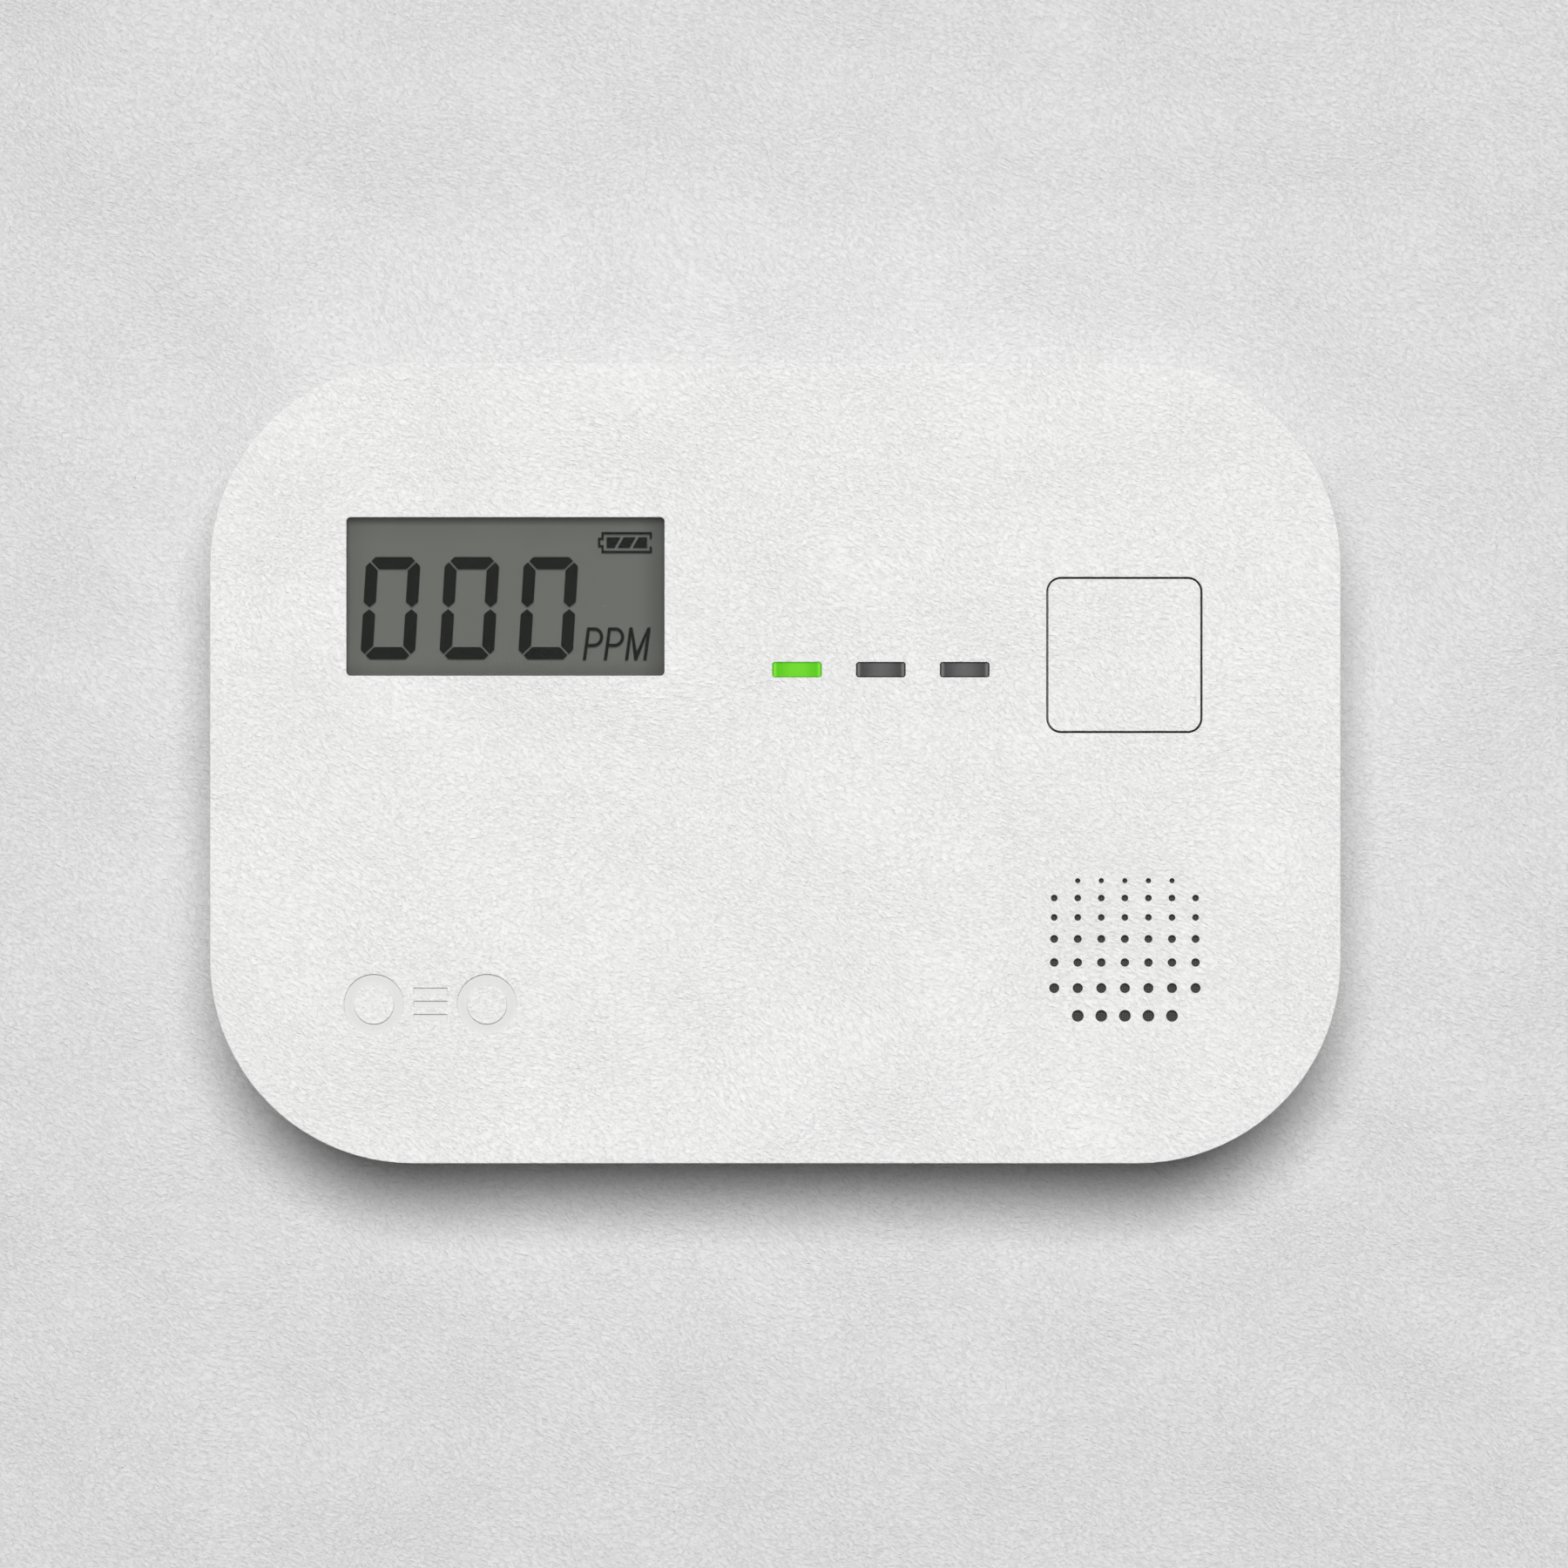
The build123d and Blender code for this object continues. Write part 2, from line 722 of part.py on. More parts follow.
def shear(points, origin, slant):
    """Points drawn upright from origin, leaned to the right."""
    return [(origin[0] + x + slant * y, origin[1] + y) for x, y in points]


def digit_zero(origin):
    """The six lit segments of a nought, mitred at the corners and pointed at the waist."""
    middle = digit_height / 2
    upright = [
        (0, corner_cut),
        (corner_cut / 2 - mitre, corner_cut / 2 + mitre),
        (stroke, stroke + 2 * mitre),
        (stroke, middle - waist_gap - waist_point),
        (stroke / 2, middle - waist_gap),
        (0, middle - waist_gap - waist_point),
    ]
    corner = [
        (stroke + 2 * mitre, stroke),
        (corner_cut / 2 + mitre, corner_cut / 2 - mitre),
        (corner_cut, 0),
    ]
    bar = corner + [(digit_width - x, y) for x, y in reversed(corner)]
    for flip_y in (False, True):
        halves = [bar, upright, [(digit_width - x, y) for x, y in upright]]
        for shape in halves:
            points = [(x, digit_height - y if flip_y else y) for x, y in shape]
            Polygon(*shear(points, origin, digit_slant), align=None)


def letter_p(origin):
    """P: a stem beside a bowl with a rounded right end."""
    for inset, mode in ((0, Mode.ADD), (letter_stroke, Mode.SUBTRACT)):
        low = bowl_foot + inset
        high = letter_height - inset
        corners = [
            (inset, low),
            (inset, high),
            (bowl_straight, high),
            (bowl_width - inset, (low + high) / 2),
            (bowl_straight, low),
        ]
        a, b, c, d, e = shear(corners, origin, letter_slant)
        with BuildLine() as bowl:
            Polyline(e, a, b, c)
            ThreePointArc(c, d, e)
        make_face(bowl.edges(), mode=mode)
    stem = [(0, 0), (letter_stroke, 0), (letter_stroke, letter_height), (0, letter_height)]
    Polygon(*shear(stem, origin, letter_slant), align=None)


def letter_m(origin):
    """M: two stems and a V between them."""
    middle = m_width / 2
    half = [
        (0, 0),
        (0, letter_height),
        (letter_stroke, letter_height),
        (middle, m_fork),
    ]
    inner = [(middle - m_toe, 0), (letter_stroke, letter_height - m_fork), (letter_stroke, 0)]
    right = [(m_width - x, y) for x, y in reversed(half[:3])]
    right_inner = [(m_width - x, y) for x, y in reversed(inner)]
    Polygon(*shear(half + right + right_inner + inner, origin, letter_slant), align=None)


def battery_sign():
    """A full battery: an outline open at the right, a nub at the left and three slanted bars."""
    right, high = sign_left + sign_width, sign_low + sign_height
    for inset, mode in ((0, Mode.ADD), (sign_line, Mode.SUBTRACT)):
        span(sign_left + inset, right - inset, (sign_low + inset, high - inset), mode)
        nub = (sign_low + nub_inset + inset, high - nub_inset - inset)
        span(sign_left - nub_reach + inset, sign_left + sign_line, nub, mode)
    span(right - sign_line, right, (sign_low + sign_hook, high - sign_hook), Mode.SUBTRACT)
    bar_low, bar_high = sign_low + charge_inset, high - charge_inset
    for i, (start, end) in enumerate(charge_bars):
        lean_left = charge_lean if i > 0 else 0
        lean_right = charge_lean if i < len(charge_bars) - 1 else 0
        Polygon(
            (sign_left + start, bar_low),
            (sign_left + end, bar_low),
            (sign_left + end + lean_right, bar_high),
            (sign_left + start + lean_left, bar_high),
            align=None,
        )


with BuildPart() as display_segments:
    with BuildSketch(level(segment_level)):
        for i in range(digit_count):
            digit_zero((digit_left + digit_pitch * i, digit_base))
        for draw, left in ((letter_p, -20.48), (letter_p, -18.25), (letter_m, -15.99)):
            draw((left, letter_base))
        battery_sign()
    extrude(amount=segment_thickness)

# ---------------------------------------------------------------- status lights
pipe_front = case_depth - 0.2
pipe_rear = 27.2
pipe_flange = 0.8
pipe_gap = 0.06
pipe_round = 0.12
pipe_width = 4.2
pipe_height = 2.2
pipe_flange_width = 6.6
pipe_flange_height = 3.0
pipe_flange_radius = 0.5
shroud_width = 27.2
shroud_height = 7.4
shroud_radius = 0.8
shroud_top = inner_face - pipe_flange - 0.1
channel_width = 5.0
channel_height = 3.2
led_width = 3.5
led_height = 2.8
led_base = 1.3
dome_radius = 1.15
dome_height = 0.8
dome_round = 0.6

with BuildPart() as light_shroud:
    with BuildSketch(level(board_front)):
        with Locations((light_x + light_pitch, light_z)):
            RectangleRounded(shroud_width, shroud_height, shroud_radius)
        with Locations(*light_points):
            Rectangle(channel_width, channel_height, mode=Mode.SUBTRACT)
    extrude(amount=shroud_top - board_front)


def light_pipe(point):
    """A moulded bar that carries one lamp's light to the face."""
    with BuildPart() as pipe:
        with BuildSketch(level(pipe_rear)):
            with Locations(point):
                Rectangle(pipe_width, pipe_height)
        extrude(amount=inner_face - pipe_flange - pipe_rear)
        with BuildSketch(level(inner_face - pipe_flange)):
            with Locations(point):
                RectangleRounded(pipe_flange_width, pipe_flange_height, pipe_flange_radius)
        extrude(amount=pipe_flange)
        with BuildSketch(level(inner_face)):
            with Locations(point):
                RectangleRounded(
                    light_width - 2 * pipe_gap, light_height - 2 * pipe_gap, light_radius - pipe_gap
                )
        extrude(amount=pipe_front - inner_face)
        fillet(pipe.faces().sort_by(Axis.Y)[0].edges(), pipe_round)
    return pipe


def status_led(point):
    """A surface-mount lamp: a square body with a domed lens."""
    with BuildPart() as led:
        with BuildSketch(level(board_front)):
            with Locations(point):
                Rectangle(led_width, led_height)
        extrude(amount=led_base)
        with BuildSketch(level(board_front + led_base)):
            with Locations(point):
                Circle(dome_radius)
        extrude(amount=dome_height)
        fillet(led.faces().sort_by(Axis.Y)[0].edges(), dome_round)
    return led


power_light_pipe, fault_light_pipe, alarm_light_pipe = [light_pipe(p) for p in light_points]
power_led, fault_led, alarm_led = [status_led(p) for p in light_points]

# ---------------------------------------------------------------- test button and its switch
button_rear = 31.5
button_size = button_opening - 2 * button_gap
button_wall = 1.55
button_face = 1.6
button_core = button_size - 2 * button_wall
button_core_radius = 1.0
button_rib = 1.0
button_roof = case_depth - button_face
flange_rear = inner_face - 1.5
flange_thickness = 1.0
seal_thickness = 0.3
seal_play = 0.05
rib_rear = 32.4
stem_radius = 2.0
stem_gap = 0.02  # between the button's stem and the plunger
plunger_top = 30.5
plunger_rear = 27.3
plunger_radius = 1.7
plunger_round = 0.3
plunger_play = 0.1
switch_size = 6.2
switch_radius = 0.4
switch_top = 28.3
well_depth = 26.6
cover_thickness = 0.25
rivet_pitch = 4.6
rivet_radius = 0.35
leg_width = 0.7
leg_reach = 1.2
leg_height = 1.4
leg_z = 2.25

with BuildPart() as test_button:
    with BuildSketch(level(button_rear)):
        with Locations((button_x, button_z)):
            RectangleRounded(button_size, button_size, button_radius - button_gap)
    extrude(amount=case_depth - button_rear)
    fillet(test_button.faces().sort_by(Axis.Y)[0].edges(), rim_round)
    with BuildSketch(level(flange_rear)):
        with Locations((button_x, button_z)):
            RectangleRounded(button_flange, button_flange, button_flange_radius)
    extrude(amount=flange_thickness)
    with BuildSketch(level(button_rear)):
        with Locations((button_x, button_z)):
            RectangleRounded(button_core, button_core, button_core_radius)
    extrude(amount=button_roof - button_rear, mode=Mode.SUBTRACT)
    # Cross ribs, and the stem that presses the switch.
    with BuildSketch(level(rib_rear)):
        with Locations((button_x, button_z)):
            Rectangle(button_core, button_rib)
            Rectangle(button_rib, button_core)
    extrude(amount=button_roof - rib_rear)
    with BuildSketch(level(plunger_top + stem_gap)):
        with Locations((button_x, button_z)):
            Circle(stem_radius)
    extrude(amount=button_roof - plunger_top - stem_gap)

# A foam frame on the button's flange keeps light and dust out of the gap.
with BuildPart() as button_seal:
    with BuildSketch(level(flange_rear + flange_thickness)):
        with Locations((button_x, button_z)):
            seal_outer = button_flange - 2 * seal_play
            seal_inner = button_size + 2 * seal_play
            seal_inner_radius = button_radius - button_gap + seal_play
            RectangleRounded(seal_outer, seal_outer, button_flange_radius - seal_play)
            RectangleRounded(seal_inner, seal_inner, seal_inner_radius, mode=Mode.SUBTRACT)
    extrude(amount=seal_thickness)

with BuildPart() as switch_housing:
    with BuildSketch(level(board_front)):
        with Locations((button_x, button_z)):
            RectangleRounded(switch_size, switch_size, switch_radius)
    extrude(amount=switch_top - board_front)
    with BuildSketch(level(well_depth)):
        with Locations((button_x, button_z)):
            Circle(plunger_radius + plunger_play)
    extrude(amount=switch_top - well_depth, mode=Mode.SUBTRACT)

with BuildPart() as switch_cover:
    with BuildSketch(level(switch_top)):
        with Locations((button_x, button_z)):
            RectangleRounded(switch_size, switch_size, switch_radius)
            Circle(plunger_radius + 1.5 * plunger_play, mode=Mode.SUBTRACT)
            with GridLocations(rivet_pitch, rivet_pitch, 2, 2):
                Circle(rivet_radius, mode=Mode.SUBTRACT)
    extrude(amount=cover_thickness)

# Four bent legs: a foot on the board and a riser against the housing.
with BuildPart() as switch_legs:
    for reach, height in ((leg_reach, cover_thickness), (cover_thickness, leg_height)):
        with BuildSketch(level(board_front)):
            with Locations((button_x, button_z)):
                with GridLocations(switch_size + reach, 2 * leg_z, 2, 2):
                    Rectangle(reach, leg_width)
        extrude(amount=height)

with BuildPart() as switch_plunger:
    with BuildSketch(level(plunger_rear)):
        with Locations((button_x, button_z)):
            Circle(plunger_radius)
    extrude(amount=plunger_top - plunger_rear)
    fillet(switch_plunger.faces().sort_by(Axis.Y)[0].edges(), plunger_round)

# ---------------------------------------------------------------- sounder
gasket_thickness = 1.2
gasket_inner = 10.2
gasket_inset = 0.3
mesh_thickness = 0.3
sounder_front = inner_face - gasket_thickness
sounder_gap = 0.2  # under the sounder
sounder_rear = board_front + sounder_gap
sounder_roof = 1.3
sounder_round = 0.5
sound_hole = 2.6
disc_level = 28.35
disc_radius = 11.0
disc_seat = 9.8
disc_thickness = 0.25
disc_play = 0.1
ceramic_radius = 7.0
ceramic_thickness = 0.2
base_thickness = 1.2
base_wall = 1.4
sounder_pin_radius = 0.4
sounder_pin_points = [(grille_x + x, grille_z + z) for x, z in ((0, -8), (-7, 4), (7, 4))]


def sounder_layer(rear, front_level, outer, inner=0.0, mode=Mode.ADD):
    """A disc or ring of the sounder between two depths."""
    with BuildSketch(level(rear)) as ring:
        with Locations((grille_x, grille_z)):
            Circle(outer)
            if inner:
                Circle(inner, mode=Mode.SUBTRACT)
    extrude(ring.sketch, amount=front_level - rear, mode=mode)


with BuildPart() as grille_mesh:
    sounder_layer(thin_face - mesh_thickness, thin_face, mesh_radius)

with BuildPart() as sounder_gasket:
    sounder_layer(sounder_front, inner_face, sounder_radius - gasket_inset, gasket_inner)

with BuildPart() as sounder_housing:
    sounder_layer(sounder_rear, sounder_front, sounder_radius)
    fillet(sounder_housing.edges().filter_by(GeomType.CIRCLE).group_by(Axis.Y)[0], sounder_round)
    disc_front = disc_level + disc_thickness
    sounder_layer(sounder_rear, disc_front, disc_radius + disc_play, mode=Mode.SUBTRACT)
    sounder_layer(disc_front, sounder_front - sounder_roof, disc_seat, mode=Mode.SUBTRACT)
    sounder_layer(sounder_front - sounder_roof, sounder_front, sound_hole, mode=Mode.SUBTRACT)

with BuildPart() as piezo_plate:
    sounder_layer(disc_level, disc_level + disc_thickness, disc_radius)

with BuildPart() as piezo_ceramic:
    sounder_layer(disc_level - ceramic_thickness, disc_level, ceramic_radius)

with BuildPart() as sounder_base:
    sounder_layer(sounder_rear, sounder_rear + base_thickness, disc_radius)
    sounder_layer(sounder_rear + base_thickness, disc_level, disc_radius, disc_radius - base_wall)

with BuildPart() as sounder_pins:
    with BuildSketch(level(board_rear - pin_tail)):
        with Locations(*sounder_pin_points):
            Circle(sounder_pin_radius)
    extrude(amount=sounder_rear - board_rear + pin_tail)

# ---------------------------------------------------------------- gas sensor
sensor_x = 45.0
sensor_z = 12.0
sensor_radius = 8.5
sensor_gap = 0.5  # between the can and the board
sensor_foot = board_rear - sensor_gap
sensor_round = 0.5
cap_level = 10.7
cap_thickness = 1.2
cap_round = 0.3
inlet_radius = 4.0
membrane_thickness = 0.3
membrane_play = 0.05
membrane_level = cap_level + cap_thickness - membrane_thickness
sensor_pin_radius = 0.5
sensor_pin_points = [(sensor_x + x, sensor_z + z) for x, z in ((5.0, 0), (-2.5, 4.33), (-2.5, -4.33))]

with BuildPart() as gas_sensor_can:
    with BuildSketch(level(cap_level + cap_thickness)):
        with Locations((sensor_x, sensor_z)):
            Circle(sensor_radius)
    extrude(amount=sensor_foot - cap_level - cap_thickness)
    fillet(gas_sensor_can.edges().filter_by(GeomType.CIRCLE).group_by(Axis.Y)[0], sensor_round)

with BuildPart() as gas_sensor_cap:
    with BuildSketch(level(cap_level)):
        with Locations((sensor_x, sensor_z)):
            Circle(sensor_radius)
            Circle(inlet_radius, mode=Mode.SUBTRACT)
    extrude(amount=cap_thickness)
    fillet(gas_sensor_cap.edges().filter_by(GeomType.CIRCLE).group_by(Axis.Y)[-1], cap_round)

with BuildPart() as gas_sensor_membrane:
    with BuildSketch(level(membrane_level)):
        with Locations((sensor_x, sensor_z)):
            Circle(inlet_radius - membrane_play)
    extrude(amount=membrane_thickness)

with BuildPart() as gas_sensor_pins:
    with BuildSketch(level(sensor_foot)):
        with Locations(*sensor_pin_points):
            Circle(sensor_pin_radius)
    extrude(amount=board_front + pin_tail - sensor_foot)

# ---------------------------------------------------------------- batteries and contacts
nub_length = 1.3
nub_radius = 2.75
nub_round = 0.4
cap_radius = 4.5  # the plate that the nub stands on
cap_groove = 5.9  # outer radius of the insulated groove round it
cap_groove_depth = 0.5
end_ring = 5.6
end_ring_width = 0.5
end_ring_depth = 0.25
sleeve_thickness = 0.3
sleeve_play = 0.05
can_radius = cell_radius - sleeve_thickness - sleeve_play
can_round = 0.5
sleeve_margin = 0.6  # bare can at each end of the sleeve
contact_rear = 5.0
contact_front = 16.6
contact_half = 5.0
dimple_radius = 2.0
dimple_height = 0.6
upper_tip = tray_right - contact_thickness - dimple_height
lower_tip = tray_left + contact_thickness + dimple_height
spring_wire = 0.4
spring_radius = 3.2
spring_turns = 3.5


def cell(tip, direction, z):
    """A dry cell whose positive tip is at x = tip and points along direction."""
    shoulder = tip - direction * nub_length
    with BuildPart() as can:
        with BuildSketch(section(shoulder)):
            with Locations((cell_depth, z)):
                Circle(can_radius)
        extrude(amount=direction * (cell_length - nub_length))
        fillet(can.edges().filter_by(GeomType.CIRCLE), can_round)
        with BuildSketch(section(shoulder)):
            with Locations((cell_depth, z)):
                Circle(cap_groove)
                Circle(cap_radius, mode=Mode.SUBTRACT)
        extrude(amount=direction * cap_groove_depth, mode=Mode.SUBTRACT)
        with BuildSketch(section(tip - direction * cell_length)):
            with Locations((cell_depth, z)):
                Circle(end_ring)
                Circle(end_ring - end_ring_width, mode=Mode.SUBTRACT)
        extrude(amount=-direction * end_ring_depth, mode=Mode.SUBTRACT)
        with BuildSketch(section(tip)):
            with Locations((cell_depth, z)):
                Circle(nub_radius)
        extrude(amount=direction * nub_length)
        fillet(can.edges().sort_by(Axis((0, 0, 0), (direction, 0, 0)))[-1], nub_round)
    return can


def sleeve(tip, direction, z):
    """The printed jacket shrunk round a cell."""
    with BuildPart() as jacket:
        with BuildSketch(section(tip - direction * (nub_length + sleeve_margin))):
            with Locations((cell_depth, z)):
                Circle(cell_radius)
                Circle(cell_radius - sleeve_thickness, mode=Mode.SUBTRACT)
        extrude(amount=direction * (cell_length - nub_length - 2 * sleeve_margin))
    return jacket


def contact_plate(x, low, high, dimple_z=None, tab_z=None):
    """A strip of plated steel against an end wall, x being its face on the wall's side."""
    inward = 1 if x < 0 else -1
    with BuildPart() as plate:
        with BuildSketch(section(x)):
            span(contact_rear, contact_front, (low, high))
        extrude(amount=-inward * contact_thickness)
        if dimple_z is not None:
            with BuildSketch(section(x + inward * contact_thickness)):
                with Locations((cell_depth, dimple_z)):
                    Circle(dimple_radius)
            extrude(amount=-inward * dimple_height)
        if tab_z is not None:
            with BuildSketch(section(x)):
                tab = (tab_z - tab_width / 2, tab_z + tab_width / 2)
                span(contact_front, board_front + pin_tail, tab)
            extrude(amount=-inward * contact_thickness)
    return plate


def contact_spring(x, direction, z, length):
    """A coil from a contact plate at x to the flat end of a cell."""
    wire_start = x + direction * spring_wire
    height = length - 2 * spring_wire
    with BuildPart() as coil:
        with BuildLine() as path:
            Helix(
                pitch=height / spring_turns,
                height=height,
                radius=spring_radius,
                center=(wire_start, -cell_depth, case_z + z),
                direction=(direction, 0, 0),
            )
        with BuildSketch(Plane(origin=path.line @ 0, z_dir=path.line % 0)):
            Circle(spring_wire)
        sweep(is_frenet=True)
    return coil


battery_upper_cell = cell(upper_tip, 1, upper_cell_z)
battery_lower_cell = cell(lower_tip, -1, lower_cell_z)
battery_upper_sleeve = sleeve(upper_tip, 1, upper_cell_z)
battery_lower_sleeve = sleeve(lower_tip, -1, lower_cell_z)
battery_link_plate = contact_plate(
    tray_left, lower_cell_z - contact_half, upper_cell_z + contact_half, dimple_z=lower_cell_z
)
battery_positive_plate = contact_plate(
    tray_right,
    upper_cell_z - contact_half,
    upper_cell_z + contact_half,
    dimple_z=upper_cell_z,
    tab_z=upper_cell_z,
)
battery_negative_plate = contact_plate(
    tray_right, lower_cell_z - contact_half, lower_cell_z + contact_half, tab_z=lower_cell_z
)
spring_room = tray_right - tray_left - 2 * contact_thickness - dimple_height - cell_length
battery_link_spring = contact_spring(tray_left + contact_thickness, 1, upper_cell_z, spring_room)
battery_negative_spring = contact_spring(tray_right - contact_thickness, -1, lower_cell_z, spring_room)

# ---------------------------------------------------------------- circuit board and its parts
chip_x = -22.0
chip_z = -12.0
chip_size = 7.0
chip_side_pins = 11
chip_pin_pitch = 0.55
chip_pin_width = 0.22
amplifier_x = 6.0
amplifier_z = -10.0
amplifier_width = 4.9
amplifier_height = 3.9
amplifier_side_pins = 4
amplifier_pin_pitch = 1.27
amplifier_pin_width = 0.42
package_height = 1.4
package_gap = 0.1
package_bevel = 0.25
lead_length = 1.0
lead_thickness = 0.3
coil_point = (9.0, -26.0)
coil_flange_radius = 4.2
coil_flange = 1.2
coil_core_radius = 3.3
coil_core_length = 4.6
coil_leg_radius = 0.35
winding_turns = 8
wire_radius = 0.28
winding_gap = 0.05
capacitor_point = (-34.0, -26.0)
capacitor_radius = 3.15
capacitor_height = 7.2
capacitor_gap = 0.2
capacitor_round = 0.5
capacitor_leg_radius = 0.3
coil_legs = [(coil_point[0] + dx, coil_point[1]) for dx in (-2.5, 2.5)]
capacitor_legs = [(capacitor_point[0] + dx, capacitor_point[1]) for dx in (-1.25, 1.25)]
through_hole_radius = 0.5
hole_play = 0.1
boss_play = 0.6
large_chip = (2.0, 1.25)
small_chip = (1.6, 0.8)
chip_row_pitch = 2.4
chip_column_pitch = 3.0
chip_end = 0.35
chip_part_height = 0.6
solder_radius = 0.95
solder_height = 0.65
solder_taper = 35

with BuildPart() as circuit_board:
    with BuildSketch(level(board_rear)):
        RectangleRounded(board_width, board_height, board_radius)
        with Locations(*screw_points):
            Circle(boss_radius + boss_play, mode=Mode.SUBTRACT)
        with Locations(*board_screw_points):
            Circle(board_pilot_radius + hole_play, mode=Mode.SUBTRACT)
        with Locations(*peg_points):
            Circle(peg_radius + hole_play / 2, mode=Mode.SUBTRACT)
        with Locations(*pin_points, *coil_legs, *capacitor_legs, *sounder_pin_points):
            Circle(through_hole_radius, mode=Mode.SUBTRACT)
        with Locations(*sensor_pin_points):
            Circle(sensor_pin_radius + hole_play, mode=Mode.SUBTRACT)
        with Locations(*tab_points):
            Rectangle(contact_thickness + tab_play, tab_width + tab_play, mode=Mode.SUBTRACT)
    extrude(amount=board_thickness)


def chip_package(x, z, width, height):
    """A moulded chip body with bevelled front edges, just clear of the board."""
    with BuildPart() as package:
        with BuildSketch(level(board_front + package_gap)):
            with Locations((x, z)):
                Rectangle(width, height)
        extrude(amount=package_height)
        chamfer(package.faces().sort_by(Axis.Y)[0].edges(), package_bevel)
    return package


microcontroller = chip_package(chip_x, chip_z, chip_size, chip_size)
sensor_amplifier = chip_package(amplifier_x, amplifier_z, amplifier_width, amplifier_height)

with BuildPart() as microcontroller_pins:
    reach = chip_size + lead_length
    with BuildSketch(level(board_front)):
        with Locations((chip_x, chip_z)):
            with GridLocations(chip_pin_pitch, reach, chip_side_pins, 2):
                Rectangle(chip_pin_width, lead_length)
            with GridLocations(reach, chip_pin_pitch, 2, chip_side_pins):
                Rectangle(lead_length, chip_pin_width)
    extrude(amount=lead_thickness)

with BuildPart() as amplifier_pins:
    with BuildSketch(level(board_front)):
        with Locations((amplifier_x, amplifier_z)):
            with GridLocations(
                amplifier_pin_pitch, amplifier_height + lead_length, amplifier_side_pins, 2
            ):
                Rectangle(amplifier_pin_width, lead_length)
    extrude(amount=lead_thickness)

with BuildPart() as boost_coil:
    coil_rear = board_front
    for radius, length in (
        (coil_flange_radius, coil_flange),
        (coil_core_radius, coil_core_length),
        (coil_flange_radius, coil_flange),
    ):
        with BuildSketch(level(coil_rear)):
            with Locations(coil_point):
                Circle(radius)
        extrude(amount=length)
        coil_rear += length
    with BuildSketch(level(board_rear - pin_tail)):
        with Locations(*coil_legs):
            Circle(coil_leg_radius)
    extrude(amount=board_thickness + pin_tail)

# Turns of enamelled wire, one beside the other, drawn across the coil and spun round it.
with BuildPart() as boost_winding:
    coil_middle = board_front + coil_flange + coil_core_length / 2
    coil_axis = Axis((coil_point[0], 0, case_z + coil_point[1]), (0, 1, 0))
    with BuildSketch(Plane(origin=coil_axis.position - (0, coil_middle, 0), z_dir=(0, 0, 1))):
        with Locations((coil_core_radius + winding_gap + wire_radius, 0)):
            with GridLocations(0, coil_core_length / winding_turns, 1, winding_turns):
                Circle(wire_radius)
    revolve(axis=coil_axis)

with BuildPart() as storage_capacitor:
    with BuildSketch(level(board_front + capacitor_gap)):
        with Locations(capacitor_point):
            Circle(capacitor_radius)
    extrude(amount=capacitor_height)
    rims = storage_capacitor.edges().filter_by(GeomType.CIRCLE).group_by(Axis.Y)[0]
    fillet(rims, capacitor_round)
    with BuildSketch(level(board_rear - pin_tail)):
        with Locations(*capacitor_legs):
            Circle(capacitor_leg_radius)
    extrude(amount=board_thickness + pin_tail + capacitor_gap)

# Resistors and capacitors in blocks beside the two chips and the lamps:
# (centre, pitch, count, (length, width), turn).
chip_blocks = (
    ((chip_x - 10, chip_z), (0, chip_row_pitch), (1, 5), large_chip, 0),
    ((chip_x + 10.5, chip_z), (chip_column_pitch, chip_row_pitch), (2, 4), small_chip, 0),
    ((amplifier_x, amplifier_z - 6), (chip_row_pitch, 0), (4, 1), large_chip, 90),
    ((light_x + light_pitch, light_z + 6), (light_pitch, 0), (light_count, 1), small_chip, 0),
)


def chip_outlines(ends):
    """The outlines of the chip parts' metal ends, or of the ceramic between them."""
    for centre, pitch, count, (length, width), turn in chip_blocks:
        with Locations(centre):
            with GridLocations(*pitch, *count):
                with Locations(Location((0, 0, 0), (0, 0, turn))):
                    if ends:
                        with GridLocations(length - chip_end, 0, 2, 1):
                            Rectangle(chip_end, width)
                    else:
                        Rectangle(length - 2 * chip_end, width)


with BuildPart() as chip_parts:
    with BuildSketch(level(board_front)):
        chip_outlines(ends=False)
    extrude(amount=chip_part_height)

with BuildPart() as chip_ends:
    with BuildSketch(level(board_front)):
        chip_outlines(ends=True)
    extrude(amount=chip_part_height)

# Solder round each lead, on the side of the board where it comes out.
with BuildPart() as solder_joints:
    for surface, side, points in (
        (board_rear, -1, pin_points + coil_legs + capacitor_legs + sounder_pin_points),
        (board_front, 1, sensor_pin_points),
    ):
        with BuildSketch(level(surface)):
            with Locations(*points):
                Circle(solder_radius)
        extrude(amount=side * solder_height, taper=solder_taper)
    for leads, radius in (
        (coil_legs, coil_leg_radius),
        (capacitor_legs, capacitor_leg_radius),
        (sounder_pin_points, sounder_pin_radius),
        (sensor_pin_points, sensor_pin_radius),
    ):
        with BuildSketch(level(board_rear - pin_tail)):
            with Locations(*leads):
                Circle(radius)
        extrude(amount=board_thickness + 2 * pin_tail, mode=Mode.SUBTRACT)
    with BuildSketch(level(board_rear - pin_tail)):
        with Locations(*pin_points):
            Rectangle(pin_width, pin_depth)
    extrude(amount=pin_tail, mode=Mode.SUBTRACT)

